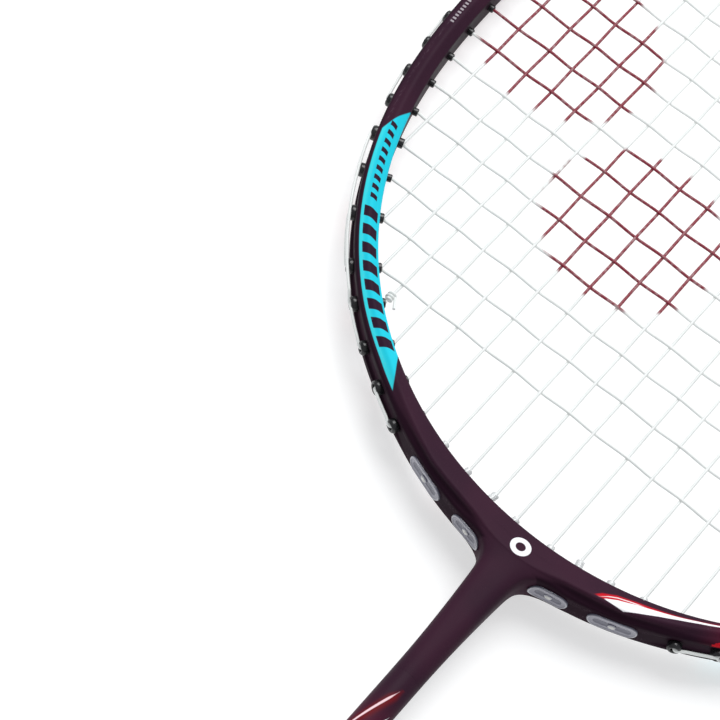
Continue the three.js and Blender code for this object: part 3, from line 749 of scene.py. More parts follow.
# the pad's plate from its underside over its rim into its slot, as (inset, height over the hoop)
PAD_RINGS = (
    (0.5, -1.2), (0, -1.0), (0, 0.2), (0.05, 0.36), (0.16, 0.48), (0.3, 0.5), (0.42, 0.42), (0.52, 0.34),
    (1.15, 0.34), (1.22, 0.32), (1.3, 0.27), (1.8, 0.26),
)
PAD_STUD_LENGTH, PAD_STUD_WIDTH = 1.7, 1.5   # the bridge over the middle of the slot
STUD_RINGS = ((0, 0.1), (0, 0.42), (0.08, 0.54), (0.25, 0.62), (0.5, 0.64))
RAY_START = 20.0
BARREL_RISE = -1.0         # marks a pad's barrels among the heights


def stadium(length, height, count):
    """A stadium outline about its centre, as (along, z) points evenly turned."""
    radius, reach = height / 2, (length - height) / 2
    turns = 2 * np.pi * (np.arange(count) + 0.5) / count
    along, z = np.cos(turns) * radius, np.sin(turns) * radius
    return np.stack([along + np.sign(along) * reach, z], -1)


def make_pad(pad, surface, material):
    """A double pad whose plate follows the hoop's outer side."""
    middle = pad["place"] @ Vector((0, 0, 0))
    s_table = np.linspace(-60, 60, 4001)
    sides = on_hoop(s_table, HOOP_HALF_WIDTH + throat_swell(s_table), 0)
    s_middle = s_table[np.hypot(sides[:, 0] - middle.x, sides[:, 1] - middle.y).argmin()]
    s_middle += np.sign(s_middle) * pad["trim"] / 2
    outward = Vector((*line.outward(s_middle), 0))

    def on_surface(along, z, height):
        start = Vector(on_hoop(s_middle + along, RAY_START, z)) * MM
        hit = surface.ray_cast(start, -Vector((*line.outward(s_middle + along), 0)))[0]
        return tuple(hit / MM + outward * height)

    shells = Shells()
    rises = []
    for length, width, profile, count in (
        (pad["length"] - pad["trim"], PAD_HEIGHT, PAD_RINGS, 64),
        (PAD_STUD_LENGTH, PAD_STUD_WIDTH, STUD_RINGS, 24),
    ):
        shells.rings([
            [on_surface(along, z, height) for along, z in
             stadium(length - 2 * inset, width - 2 * inset, count)]
            for inset, height in profile
        ])
        rises += [height for _, height in profile for _ in range(count)]
    bore, barrel, tip = NARROW["bore"], NARROW["barrel"], PAD_PROUD - pad["reach"]
    for x in (-pad["half"], pad["half"]):
        shells.lathe([
            (bore, tip), (barrel - 0.1, tip), (barrel, tip + 0.1), (barrel, -PAD_BARREL_SUNK),
            (bore, -PAD_BARREL_SUNK),
        ], GROMMET_SIDES, pad["place"] @ Matrix.Translation((x, 0, 0)))
    rises += [BARREL_RISE] * (len(shells.points) - len(rises))
    side, numbers = side_name(pad["side"]), "_".join(map(str, pad["mains"]))
    name, node = f"{side}_double_pad_{numbers}", f"throat_pad_{side}_{numbers}"
    add_attribute(shells.finish(name, 35, material, "clear_pad", node), "rise", rises)


# ------------------------------------------------------------------ shaft and handle
RING_POINTS = 112
OCTAGON_ROUNDING = 2.6
AROUND = np.arange(RING_POINTS) / RING_POINTS          # each ring point's share of the way round


def octagon_ring(y, margin, offsets=0.0):
    """A rounded octagon a margin outside the handle core, its points moved out by the offsets."""
    half_x, half_z = CORE_HALF_X + margin, CORE_HALF_Z + margin
    corner = 1 / math.cos(math.pi / 8)
    turns = math.pi / 8 + math.pi / 4 * np.arange(8)
    corners = np.stack([half_x * corner * np.cos(turns), half_z * corner * np.sin(turns)], -1)
    outline = rounded(corners, OCTAGON_ROUNDING, steps=6, closed=True)
    outline = np.vstack([outline, outline[:1]])
    arc = np.concatenate([[0], np.cumsum(np.linalg.norm(np.diff(outline, axis=0), axis=1))])
    x, z = (np.interp(arc[-1] * np.arange(RING_POINTS) / RING_POINTS, arc, side) for side in outline.T)
    normal = np.stack([x / half_x ** 2, z / half_z ** 2])
    normal /= np.linalg.norm(normal, axis=0)
    return np.stack([
        x + normal[0] * offsets, np.broadcast_to(y, RING_POINTS), z + normal[1] * offsets,
    ], -1)


WRAP_PITCH = 23.0
WRAP_STEP = 0.45           # thickness of the tape's edge where a turn lies over the last
WRAP_EDGE = 0.035          # share of the pitch over which that edge falls
WRAP_LOW = 0.45            # how high the tape's low edge lies, as a share of that step
WRAP_PADDING = 0.16
WRAP_ROW_STEP = 0.8
WRAP_GIRTH = 76            # length once round the grip


def make_wrap(material):
    rows = np.arange(CORE_BOTTOM_Y, CORE_TOP_Y, WRAP_ROW_STEP)
    outer, inner, phases = [], [], []
    for y in rows:
        phase = np.mod(y / WRAP_PITCH - AROUND, 1)
        step = WRAP_LOW + (1 - WRAP_LOW) * smoothstep(0, 1, phase / WRAP_EDGE)
        slope = 1 - (1 - WRAP_LOW) * (phase - WRAP_EDGE) / (1 - WRAP_EDGE)
        rise = np.where(phase < WRAP_EDGE, step, slope)
        end = smoothstep(0, 2.5, min(y - rows[0], rows[-1] - y)) * 0.5 + 0.5
        offsets = WRAP_STEP * rise * end + WRAP_PADDING * np.sin(np.pi * phase)
        gap = np.interp(y - CORE_BOTTOM_Y, *zip(*BUTT_FLARE)) + FIT_GAP
        outer.append(octagon_ring(y, gap + WRAP_THICKNESS - WRAP_STEP, offsets))
        inner.append(octagon_ring(y, gap))
        phases.append(phase)
    shells = Shells().rings(outer + inner[::-1], closed=True)
    piece = shells.finish("wound_grip", 60, material, "grip_wrap", "grip_wrap")
    add_attribute(piece, "phase", np.concatenate([np.ravel(phases), np.ravel(phases[::-1])]))
    add_attribute(piece, "around", np.tile(AROUND * WRAP_GIRTH, 2 * len(rows)))


TAPE_THICKNESS, TAPE_CLEARANCE = 0.4, 0.25
TAPE_EDGE = ((0.0, 0.0), (0.15, TAPE_THICKNESS), (0.6, TAPE_THICKNESS + 0.05))
TAPE_OVERLAP, TAPE_OVERLAP_SHARE = 0.22, 0.16


def make_tape(material):
    """The band round the grip's upper end, whose end lies over its start."""
    margin = FIT_GAP + WRAP_THICKNESS + TAPE_CLEARANCE
    overlap = TAPE_OVERLAP * (AROUND < TAPE_OVERLAP_SHARE) * smoothstep(0.0, 0.006, AROUND)
    outer = [(TAPE_BOTTOM_Y + dy, growth) for dy, growth in TAPE_EDGE]
    outer += [(TAPE_TOP_Y - dy, growth) for dy, growth in TAPE_EDGE[::-1]]
    rings = [octagon_ring(y, margin, growth + overlap * (growth > 0)) for y, growth in outer]
    rings += [octagon_ring(y, margin, -0.05) for y in (TAPE_TOP_Y, TAPE_BOTTOM_Y)]
    shells = Shells().rings(rings, closed=True)
    shells.finish("grip_band", 30, material, "finishing_tape", "finishing_tape")


BUTT_CAP_EDGE = (          # (y, inset) from its upper rim to its face
    (BUTT_CAP_THICKNESS, 0.35), (BUTT_CAP_THICKNESS - 0.35, 0), (1.5, 0), (0.9, 0.12), (0.4, 0.45),
    (0.1, 1.0), (0, 1.7),
)
BUTT_CAP_FACE = (          # (radius, y) over a ring groove into the badge's seat
    (9.2, 0), (8.9, 0.35), (8.4, 0.35), (8.1, 0), (BADGE_RADIUS + FIT_GAP, 0.05),
    (BADGE_RADIUS + FIT_GAP, BADGE_THICKNESS + FIT_GAP),
)
BADGE_PROFILE = (
    (0.3, BADGE_THICKNESS), (BADGE_RADIUS, BADGE_THICKNESS), (BADGE_RADIUS, 0.25),
    (BADGE_RADIUS - 0.25, 0), (6.4, 0), (6.2, 0.25), (5.8, 0.25), (5.6, 0.08), (0.3, 0.02),
)
BADGE_SIDES = 72


def make_butt_cap(material):
    margin = BUTT_FLARE[0][1] + FIT_GAP + WRAP_THICKNESS
    rings = [octagon_ring(y, margin - inset) for y, inset in BUTT_CAP_EDGE]
    turns = np.arctan2(rings[-1][:, 2], rings[-1][:, 0])
    rings += [circle_ring(radius, y, turns) for radius, y in BUTT_CAP_FACE]
    Shells().rings(rings).finish("butt_end_cap", 30, material, "butt_plastic", "butt_cap")


def make_badge(material):
    turns = 2 * np.pi * np.arange(BADGE_SIDES) / BADGE_SIDES
    rings = [circle_ring(radius, y, turns) for radius, y in BADGE_PROFILE]
    Shells().rings(rings).finish("butt_disc", 30, material, "badge_metal", "butt_badge")


# the cone by height over its base: its foot with a groove, its waist, which is smoothed, and its top lip
CONE_FOOT = ((11.3, 0), (11.8, 0.5), (11.8, 4.2), (11.55, 4.5), (11.1, 4.6), (11.1, 5.4), (11.25, 5.6))
CONE_WAIST = ((11.8, 0), (11.8, 5), (10.4, 11), (8.3, 21), (6.6, 31), (5.5, 39), (4.7, 42))
CONE_LIP = ((4.9, 41.4), (4.5, 41.9), (4.1, 42))
CONE_INNER_TOP = 41.7


def make_cone(material):
    base, bore = CORE_TOP_Y + FIT_GAP, SHAFT_RADIUS + FIT_GAP / 2
    radii, heights = zip(*CONE_WAIST)
    fine = np.linspace(6, 40.5, 26)
    waist = np.interp(fine, heights, radii)
    waist[2:-2] = np.convolve(waist, np.array([1, 2, 3, 2, 1]) / 9, "valid")
    outline = ((bore, 0), *CONE_FOOT, *zip(waist, fine), *CONE_LIP, (bore, CONE_INNER_TOP))
    shells = Shells().lathe([(radius, base + height) for radius, height in outline], 64)
    shells.finish("grip_cone", 35, material, "cone_paint", "handle_cone")


def make_shaft(material):
    top, inner = SEAM_Y - 0.02, SHAFT_RADIUS - SHAFT_WALL
    ys = np.linspace(SHAFT_BOTTOM_Y, top, 160)
    shells = Shells().lathe([(inner, ys[0]), *((SHAFT_RADIUS, y) for y in ys), (inner, top)], 40)
    shells.finish("carbon_tube", 35, material, "shaft_paint", "shaft")


# ------------------------------------------------------------------ materials
class Value:
    """A number or colour on the surface, as a socket that other nodes can take up."""

    def __init__(self, paint, socket):
        self.paint, self.socket = paint, socket

    def math(self, operation, *others):
        made = self.paint.node("ShaderNodeMath", operation=operation)
        return self.paint.fed(made, self, *others)

    def __add__(self, other):
        return self.math("ADD", other)

    def __sub__(self, other):
        return self.math("SUBTRACT", other)

    def __mul__(self, other):
        return self.math("MULTIPLY", other)

    def __abs__(self):
        return self.math("ABSOLUTE")

    def ramp(self, low, high, to_low=0.0, to_high=1.0):
        """Runs smoothly from to_low at low to to_high at high."""
        made = self.paint.node("ShaderNodeMapRange", interpolation_type="SMOOTHSTEP")
        return self.paint.fed(made, self, low, high, to_low, to_high)

    def band(self, low, high, soft):
        """1 between low and high, and 0 beyond."""
        return self.ramp(low - soft, low + soft) * self.ramp(high - soft, high + soft, 1, 0)

    def between(self, low, high, soft=0.07):
        """1 where this lies between two other values."""
        return (self - low).ramp(-soft, soft) * (high - self).ramp(-soft, soft)

    def piecewise(self, points):
        """The polyline through (x, y) points as a function of this, level beyond its ends."""
        result = points[0][1]
        for (x0, y0), (x1, y1) in zip(points[:-1], points[1:]):
            made = self.paint.node("ShaderNodeMapRange")
            result = self.paint.fed(made, self, x0, x1, 0.0, y1 - y0) + result
        return result


def hypot(a, b):
    return (a * a + b * b).math("SQRT")


class Paint:
    """Builds one Principled material, with short calls for the nodes that drive it."""

    def __init__(self, name, colour, roughness, **inputs):
        self.material = bpy.data.materials.new(name)
        self.material.use_nodes = True
        self.tree = self.material.node_tree
        self.shader = self.tree.nodes["Principled BSDF"].inputs
        self.shader["Base Color"].default_value = (*colour, 1)
        self.shader["Roughness"].default_value = roughness
        for key, value in inputs.items():
            self.shader[key.replace("_", " ")].default_value = value
        self.millimetres = None

    def node(self, kind, **settings):
        made = self.tree.nodes.new(kind)
        for key, value in settings.items():
            setattr(made, key, value)
        return made

    def plug(self, socket, value):
        if isinstance(value, Value):
            self.tree.links.new(value.socket, socket)
        elif isinstance(value, tuple):
            socket.default_value = (*value, 1) if len(value) < len(socket.default_value) else value
        else:
            socket.default_value = value

    def fed(self, made, *values, output=0):
        """Sets a node's first inputs and returns one of its outputs."""
        for socket, value in zip(made.inputs, values):
            self.plug(socket, value)
        return Value(self, made.outputs[output])

    def attribute(self, name):
        return self.fed(self.node("ShaderNodeAttribute", attribute_name=name), output="Fac")

    def position(self):
        """The place on the racket in millimetres, as a vector."""
        if self.millimetres is None:
            place = self.fed(self.node("ShaderNodeTexCoord"), output="Object")
            scaled = self.node("ShaderNodeVectorMath", operation="SCALE")
            scaled.inputs["Scale"].default_value = 1 / MM
            self.millimetres = self.fed(scaled, place)
        return self.millimetres

    def axes(self):
        split = self.node("ShaderNodeSeparateXYZ")
        self.plug(split.inputs[0], self.position())
        return [Value(self, socket) for socket in split.outputs]

    def stretched(self, scale):
        """The position with each axis scaled, for grain that runs one way."""
        return self.fed(self.node("ShaderNodeVectorMath", operation="MULTIPLY"), self.position(), scale)

    def texture(self, kind, output, vector=None, **inputs):
        made = self.node(f"ShaderNodeTex{kind}")
        self.plug(made.inputs["Vector"], vector or self.position())
        for name, value in inputs.items():
            made.inputs[name].default_value = value
        return Value(self, made.outputs[output])

    def noise(self, scale, detail=3.0, vector=None):
        return self.texture("Noise", "Fac", vector, Scale=scale, Detail=detail)

    def dots(self, scale):
        """The distance to the nearest of many scattered points."""
        return self.texture("Voronoi", "Distance", Scale=scale)

    def mix(self, share, a, b):
        made = self.node("ShaderNodeMix", data_type="RGBA")
        for index, value in ((0, share), (6, a), (7, b)):
            self.plug(made.inputs[index], value)
        return Value(self, made.outputs[2])

    def colour(self, value):
        self.plug(self.shader["Base Color"], value)

    def roughness(self, grain, low, high):
        self.plug(self.shader["Roughness"], grain.ramp(0.3, 0.7, low, high))

    def bump(self, height, depth):
        """Relief of the height field, its depth in millimetres."""
        made = self.node("ShaderNodeBump")
        made.inputs["Distance"].default_value = depth * MM
        made.inputs["Strength"].default_value = 1.0
        self.plug(made.inputs["Height"], height)
        self.plug(self.shader["Normal"], Value(self, made.outputs[0]))


PLUM = (0.033, 0.013, 0.025)
PLUM_WARM = (0.042, 0.015, 0.029)
PLUM_PAINTED_SHADE = (0.010, 0.003, 0.008)
PLUM_FLAKE = (0.09, 0.035, 0.06)
MAROON = (0.16, 0.012, 0.035)
RED = (0.55, 0.01, 0.02)
RED_DEEP = (0.14, 0.010, 0.014)
WHITE = (0.85, 0.85, 0.87)
PINK = (0.85, 0.60, 0.64)
CYAN = (0.018, 0.56, 0.70)
CYAN_LIGHT = (0.04, 0.65, 0.73)
INK = (0.028, 0.012, 0.026)
DASH_GREY = (0.36, 0.32, 0.35)
SCUFF = (0.30, 0.22, 0.27)


def plum_base(paint):
    """Satin plum lacquer: fine metallic flake, and broad clouds where it dries unevenly."""
    clouds, flake = paint.noise(0.05, 2.0), paint.noise(6.0, 1.0)
    tone = paint.mix(clouds.ramp(0.35, 0.65), PLUM, PLUM_WARM)
    paint.plug(paint.shader["Roughness"], flake * 0.10 + clouds.ramp(0.3, 0.7, 0.38, 0.46))
    paint.bump(paint.noise(2.2, 4.0), 0.012)
    return paint.mix(flake.ramp(0.62, 0.8, 0, 0.35), tone, PLUM_FLAKE)


# The design on the hoop lies by arc length s along it and the offset across its face. The back
# repeats it. The panel's outer side is given as (s, offset), and its slanting ends by where they fade.
PANEL_OUTER = ((-110, 1.7), (-62, 1.8), (-50, 1.65), (-40, 1.9))
PANEL_FAR_SLANT, PANEL_FAR_END = -1.7, (-110.6, -110.0)
PANEL_NEAR_SLANT, PANEL_NEAR_END = -1.75, (-45.6, -45.0)
# rows of plain slanted bars, whose width is the painted share of the pitch
SMALL_BARS = {"slant": 0.45, "pitch": 2.45, "width": 0.5, "span": (-109.7, -88.7), "sides": (-1.3, 0.3)}
LARGE_BARS = {"slant": 0.45, "pitch": 4.6, "width": 0.58, "span": (-86.5, -51.4), "sides": (-2.0, 1.15)}
DASHES = {"slant": 0.3, "pitch": 1.05, "width": 0.5, "span": (-158, -141), "sides": (0.25, 1.15)}
# the flash: its red rim, the hairline in the red, and its white core's two sides, as (s, offset)
FLASH_RIM = ((17.5, 2.2), (19, 0.9), (22, -0.35), (26.2, -0.85), (35, -1.05), (47, -1.6))
FLASH_LINE = ((18.7, 2.1), (20.3, 1.0), (22.2, 0.2), (24.6, -0.2), (28.2, -0.5))
FLASH_INNER = (
    (19.8, 1.9), (22.4, 0.75), (26.5, -0.2), (30.7, -0.6), (35, -0.87), (39.2, -1.2), (47, -1.45),
)
FLASH_OUTER = (
    (19.8, 2.1), (22.1, 2.45), (24.2, 2.8), (27.2, 1.85), (31.1, 0.75), (35.2, -0.05), (39.4, -0.6),
    (43.2, -0.85), (47, -1.2),
)
HAIRLINE = 0.11            # half its width
# swooshes: s from start to end, offset across the face there, drift per millimetre, half width, colour
SWOOSHES = (
    (41, 62, 3.4, -0.10, 1.1, RED),
    (48, 78, 1.9, -0.10, 1.4, WHITE),
    (62, 92, 2.4, -0.12, 1.0, RED),
    (66, 104, 1.9, -0.09, 1.4, WHITE),
    (84, 124, 2.0, -0.08, 1.3, RED),
    (92, 134, 1.7, -0.07, 1.2, WHITE),
    (118, 160, 1.5, -0.05, 1.0, RED),
)
RING_MARK_X, RING_MARK_Y = 0.35, 432.2
RING_MARK_RADII = (1.1, 2.3)


def bars(s, across, slant, pitch, width, span, sides):
    lean = s + across * slant
    bar = (lean * (1 / pitch)).math("FRACT").band(0.5 - width / 2, 0.5 + width / 2, 0.02)
    return bar * (lean.band(*span, 0.1) * across.band(*sides, 0.05))


def frame_paint():
    """Plum, with a cyan panel on the left arm's face and a red and white flash on the right arm's, and
    painted shade on the flank below the ridge and on the hoop's inner side.
    """
    paint = Paint("satin_plum_lacquer", PLUM, 0.46, Specular_IOR_Level=0.03)
    colour = plum_base(paint)
    x, y, z = paint.axes()
    along, across = paint.attribute("along"), paint.attribute("across")
    face = z.math("SIGN")
    s, height = along * face, abs(z)
    on_face = z.math("MAXIMUM", z * -1.0 - 1.2).ramp(2.5, 3.1)
    # painted shade: the flank below the face's ridge and the hoop's inner side darken towards deep plum,
    # as shade falls there
    flank = height.ramp(4.7, 4.0) * across.ramp(1.6, 2.6) * across.ramp(5.3, 6.1, 1, 0)
    shaded_inner_side = across.ramp(-2.2, -2.6) * height.ramp(3.6, 3.0)
    colour = paint.mix(flank.math("MAXIMUM", shaded_inner_side) * 0.72, colour, PLUM_PAINTED_SHADE)

    # the panel is cut slanting at its far end and to a point at its near one
    far_end = (s + across * PANEL_FAR_SLANT).ramp(*PANEL_FAR_END)
    near_end = (s + across * PANEL_NEAR_SLANT).ramp(*PANEL_NEAR_END, 1, 0)
    outer = (across - s.piecewise(PANEL_OUTER)).ramp(-0.1, 0.1, 1, 0)
    marks = bars(s, across, **SMALL_BARS).math("MAXIMUM", bars(s, across, **LARGE_BARS))
    panel = paint.mix(marks, paint.mix(across.ramp(0.2, 1.6), CYAN, CYAN_LIGHT), INK)
    colour = paint.mix(far_end * near_end * (outer * on_face), colour, panel)
    colour = paint.mix(bars(s, across, **DASHES) * on_face, colour, DASH_GREY)

    # the flash lies on a ground of maroon, and ragged swooshes follow it
    colour = paint.mix(s.ramp(38, 56) * on_face, colour, MAROON)
    rim, middle, inner, outer = map(s.piecewise, (FLASH_RIM, FLASH_LINE, FLASH_INNER, FLASH_OUTER))
    for shape, span, tint in (
        (across.between(rim, inner + 0.15, 0.3), (17.6, 46.0, 0.9), RED),
        (across.between(middle - HAIRLINE, middle + HAIRLINE, 0.1), (19.5, 27.0, 1.5), WHITE),
        (across.between(inner, outer), (19.9, 47.0, 0.3), WHITE),
    ):
        colour = paint.mix(shape * (s.band(*span) * on_face), colour, tint)
    dots = paint.dots(1.9)
    for start, end, centre, drift, half, tint in SWOOSHES:
        offset = abs(across - ((s - start) * drift + centre))
        taper = s.ramp(start, start + 4) * s.ramp(start, end, half, 0)
        share = (taper - offset + dots * -0.25).ramp(-0.08, 0.08) * on_face
        colour = paint.mix(share * s.band(start, end, 0.2), colour, tint)

    # a plain white ring on the throat
    distance = hypot(x * face - RING_MARK_X, y - RING_MARK_Y)
    colour = paint.mix(distance.band(*RING_MARK_RADII, 0.06) * on_face, colour, WHITE)
    paint.colour(worn(paint, colour))
    return paint.material


def worn(paint, colour):
    """Fine scuffs where the edges have rubbed."""
    pointiness = paint.fed(paint.node("ShaderNodeNewGeometry"), output="Pointiness")
    scratch = paint.noise(1.4, 6.0, paint.stretched((3.0, 0.6, 3.0)))
    return paint.mix(pointiness.ramp(0.56, 0.64) * scratch.ramp(0.52, 0.62) * 0.12, colour, SCUFF)


STREAK_REPEATS = 6
STREAK_PITCH = 27.0
STREAK_TOP_Y = SEAM_Y - 4.0
STREAK_WINDING = 0.32     # how far a streak moves round the shaft for each millimetre down it
# start below the first, offset round the shaft, length, half width, ragged edge, softness, colour
STREAKS = (
    (-0.6, -1.7, 34, 0.90, 0.0, 0.75, RED_DEEP),
    (0.2, -1.2, 30, 0.25, 0.0, 0.08, PINK),
    (9.4, -1.2, 34, 0.95, 0.35, 0.07, WHITE),
    (5.4, -3.3, 40, 0.34, 0.0, 0.07, WHITE),
    (20.0, -3.0, 34, 1.15, 0.2, 0.07, WHITE),
)


def shaft_paint():
    """Plum that turns to maroon down the shaft, with pointed streaks that wind round it."""
    paint = Paint("streaked_plum_lacquer", PLUM, 0.46, Specular_IOR_Level=0.04)
    colour = plum_base(paint)
    x, y, z = paint.axes()
    around = z.math("ARCTAN2", x) * SHAFT_RADIUS
    colour = paint.mix(y.ramp(392, 366) * y.ramp(205, 240) * 0.85, colour, MAROON)
    half_turn = math.pi * SHAFT_RADIUS
    dots = paint.dots(2.2)
    for repeat in range(STREAK_REPEATS):
        for start, offset, length, half, ragged, soft, tint in STREAKS:
            top = paint.node("ShaderNodeMath", operation="SUBTRACT")
            run = paint.fed(top, STREAK_TOP_Y - start - repeat * STREAK_PITCH, y)
            centre = run * STREAK_WINDING + (offset - half_turn / 2)
            wrapped = (around - centre).math("WRAP", half_turn / 2, -half_turn / 2)
            edge = run.ramp(0, 3, 0, half) * run.ramp(8, length, 1, 0) - abs(wrapped)
            if ragged:
                edge = edge + dots * -ragged
            colour = paint.mix(edge.ramp(-soft, soft) * run.band(0, length, 0.1), colour, tint)
    paint.colour(colour)
    return paint.material


def cone_paint():
    paint = Paint("moulded_plum_plastic", PLUM, 0.38, Specular_IOR_Level=0.1)
    paint.colour(plum_base(paint))
    return paint.material


STENCIL_SPOTS = ((27.7, 513.7, 21.0), (67, 544.5, 21.5))      # x, y and radius, on both sides
STENCIL_INK, STENCIL_INK_PAINTED_GLOW = (0.20, 0.005, 0.022), (0.05, 0.0, 0.004)
NYLON_PAINTED_GLOW = 0.30           # painted glow: emission that lifts the nylon's shaded side


def string_nylon():
    """Pearl nylon with a worn stencil of four plain discs, and a painted glow that lifts its shaded side.
    """
    paint = Paint("pearl_nylon", (0.8, 0.8, 0.8), 0.3, Specular_IOR_Level=0.4)
    x, y, _ = paint.axes()
    wobble = (paint.noise(0.35, 2.0) - 0.5) * 3.0
    left, right = (
        (hypot(abs(x) - spot_x, y - spot_y) + wobble).ramp(radius - 0.8, radius + 0.8, 1, 0)
        for spot_x, spot_y, radius in STENCIL_SPOTS
    )
    inked = left.math("MAXIMUM", right) * paint.noise(0.9, 4.0).ramp(0.30, 0.55, 0.8, 1.0)
    tone = paint.mix(paint.noise(0.12, 2.0), (0.54, 0.56, 0.55), (0.64, 0.66, 0.65))
    paint.colour(paint.mix(inked, tone, STENCIL_INK))
    # painted glow: the nylon emits light, darker where inked, so its shaded side stays light
    paint.plug(paint.shader["Emission Color"], paint.mix(inked, tone, STENCIL_INK_PAINTED_GLOW))
    paint.shader["Emission Strength"].default_value = NYLON_PAINTED_GLOW
    paint.roughness(paint.noise(3.0, 2.0), 0.25, 0.42)
    paint.bump(paint.noise(5.0, 2.0), 0.01)
    return paint.material


def moulded_plastic(name, dark, light, roughness, grain):
    paint = Paint(name, dark, roughness)
    paint.colour(paint.mix(paint.noise(0.4).ramp(0.35, 0.7), dark, light))
    fine = paint.noise(grain)
    paint.roughness(fine, roughness - 0.06, roughness + 0.08)
    paint.bump(fine, 0.015)
    return paint.material


# what the pad shows by its height over the hoop, from its slot over the rim to the stud: painted shade in
# the slot, painted highlights on the rim and the stud
PAD_SLOT_SHADE, PAD_RIM_HIGHLIGHT, PAD_STUD_HIGHLIGHT = (0.19, 0.19, 0.25), (0.72, 0.72, 0.78), (0.9, 0.9, 0.86)
PAD_BARREL = (0.84, 0.86, 0.86)


def clear_pad():
    paint = Paint("clear_pad_plastic", (0.42, 0.42, 0.47), 0.15, Transmission_Weight=0.3, IOR=1.5)
    haze, rise = paint.noise(0.35, 1.5), paint.attribute("rise")
    milky = paint.mix(haze, (0.34, 0.33, 0.40), (0.52, 0.52, 0.60))
    # painted shade in the recessed slot, and painted highlights on the raised rim and the stud, picked by
    # height
    plate = paint.mix(rise.ramp(0.27, 0.32), PAD_SLOT_SHADE, milky)
    plate = paint.mix(rise.ramp(0.40, 0.50), plate, PAD_RIM_HIGHLIGHT)
    plate = paint.mix(rise.ramp(0.57, 0.61), plate, PAD_STUD_HIGHLIGHT)
    paint.colour(paint.mix(rise.ramp(-0.6, -0.4), PAD_BARREL, plate))
    paint.roughness(haze, 0.08, 0.2)
    paint.bump(paint.noise(0.6, 1.0), 0.015)
    return paint.material


def handle_wood():
    """Beech with its rings round the handle's axis and pores along it."""
    paint = Paint("turned_beech", (0.5, 0.33, 0.17), 0.6)
    rings = paint.texture("Wave", "Fac", paint.stretched((0.25, 0.02, 0.25)), Scale=1.2, Distortion=3.0)
    wave = rings.socket.node
    wave.wave_type, wave.rings_direction = "RINGS", "Y"
    pores = paint.noise(1.0, 4.0, paint.stretched((4, 0.15, 4)))
    tone = paint.mix(rings, (0.40, 0.24, 0.11), (0.60, 0.42, 0.23))
    paint.colour(paint.mix(pores.ramp(0.55, 0.7, 0, 0.5), tone, (0.22, 0.12, 0.05)))
    paint.bump(pores, 0.05)
    return paint.material


PERFORATION_PITCH = 2.6
PERFORATION_RADIUS = 0.42
PERFORATION_ROWS = 9.0     # rows of holes over the tape's width


def grip_leather():
    """Black synthetic leather with rows of small holes and a fine grain."""
    paint = Paint("perforated_grip", (0.02, 0.02, 0.022), 0.6, Sheen_Weight=0.15, Sheen_Roughness=0.5)
    around, phase = paint.attribute("around"), paint.attribute("phase")
    row = phase * PERFORATION_ROWS
    odd = row.math("FLOOR").math("MODULO", 2.0) * 0.5
    column = around * (1 / PERFORATION_PITCH) + odd
    distance = hypot(row.math("FRACT") - 0.5, column.math("FRACT") - 0.5)
    share = PERFORATION_RADIUS / PERFORATION_PITCH
    hole = distance.ramp(share - 0.03, share + 0.03, 1, 0) * phase.band(0.1, 0.9, 0.01)
    grain, wear = paint.noise(1.8, 6.0), paint.noise(0.08, 3.0)
    tone = paint.mix(wear.ramp(0.4, 0.7), (0.016, 0.016, 0.018), (0.038, 0.037, 0.038))
    # painted shade: the holes are drawn near-black, as shade falls into them
    paint.colour(paint.mix(hole, tone, (0.004, 0.004, 0.004)))
    paint.roughness(grain, 0.48, 0.7)
    paint.bump(grain * 0.35 - hole, 0.22)
    return paint.material


def badge_metal():
    """Aluminium with the fine rings of turning."""
    paint = Paint("spun_aluminium", (0.62, 0.63, 0.65), 0.3, Metallic=1.0)
    x, _, z = paint.axes()
    spots = paint.noise(0.9, 4.0)
    paint.colour(paint.mix(spots, (0.50, 0.51, 0.54), (0.74, 0.74, 0.76)))
    paint.roughness(spots, 0.22, 0.4)
    paint.bump((hypot(x, z) * 42.0).math("SINE"), 0.012)
    return paint.material


FLOOR_GLOW = 0.56          # lifts the paper to the white of an overexposed backdrop


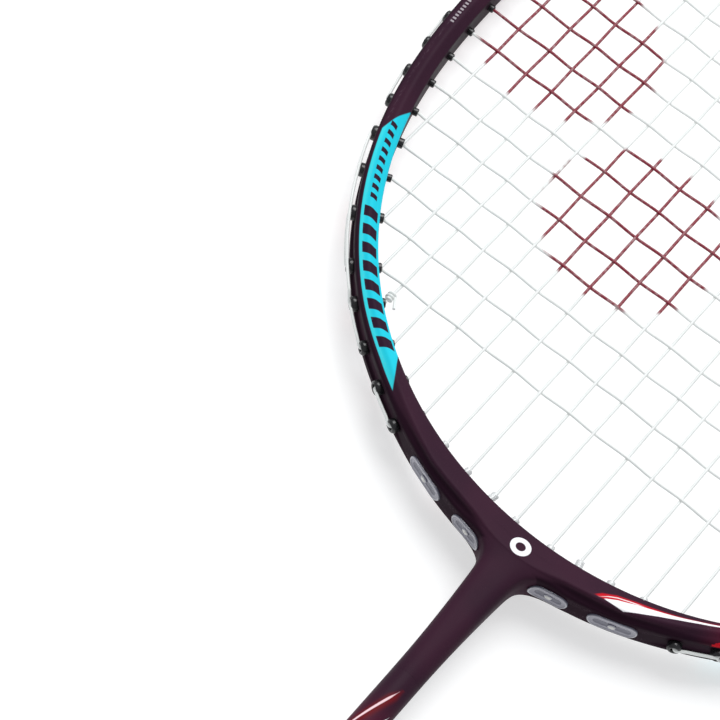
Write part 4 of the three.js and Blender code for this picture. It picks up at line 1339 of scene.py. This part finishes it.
def floor_paper():
    paint = Paint("studio_paper", (0.52, 0.52, 0.52), 0.85)
    paint.colour(paint.mix(paint.noise(0.8), (0.505, 0.51, 0.51), (0.535, 0.54, 0.54)))
    paint.shader["Emission Color"].default_value = (1, 1, 1, 1)
    paint.shader["Emission Strength"].default_value = FLOOR_GLOW
    return paint.material


# ------------------------------------------------------------------ floor
FLOOR_HALF = 1600.0
BUTT_REST = (0.0, -13.95)          # y and z where the butt's lower edge rests
TIP_REST = (672.0, -5.35)


def make_floor(material):
    """A wide sheet under the racket, touching the butt cap's and the hoop's undersides."""
    slope = (TIP_REST[1] - BUTT_REST[1]) / (TIP_REST[0] - BUTT_REST[0])
    steps = np.linspace(-FLOOR_HALF, FLOOR_HALF, 9)
    middle = HEAD_WIDEST_Y / 2
    points = [(x, middle + y, BUTT_REST[1] + slope * (middle + y)) for y in steps for x in steps]
    count = len(steps)
    faces = [(i * count + k, i * count + k + 1, (i + 1) * count + k + 1, (i + 1) * count + k)
             for i in range(count - 1) for k in range(count - 1)]
    sheet = make_object("paper_sweep", points, faces)
    sheet.data.materials.append(material)


# ------------------------------------------------------------------ the racket
make_camera()
make_lights()
make_floor(floor_paper())

head = make_frame(frame_paint())
nylon = string_nylon()
make_string("up_and_down_string", main_path(), "main_string", nylon)
make_string("side_to_side_string", cross_path(), "cross_string", nylon)
make_grommets(moulded_plastic("gloss_black_nylon", (0.008, 0.008, 0.009), (0.02, 0.02, 0.022), 0.22, 3.0))
pad_plastic = clear_pad()
head_surface = BVHTree.FromObject(head, bpy.context.evaluated_depsgraph_get())
for site in PADS:
    make_pad(site, head_surface, pad_plastic)

make_shaft(shaft_paint())
make_cone(cone_paint())
make_wrap(grip_leather())
make_tape(moulded_plastic("black_band", (0.015, 0.015, 0.016), (0.03, 0.03, 0.032), 0.35, 1.5))
make_butt_cap(moulded_plastic(
    "black_butt_plastic", (0.012, 0.012, 0.013), (0.026, 0.026, 0.028), 0.4, 2.0,
))
make_badge(badge_metal())

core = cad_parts["handle_core"]
core.data.materials.clear()
core.data.materials.append(handle_wood())
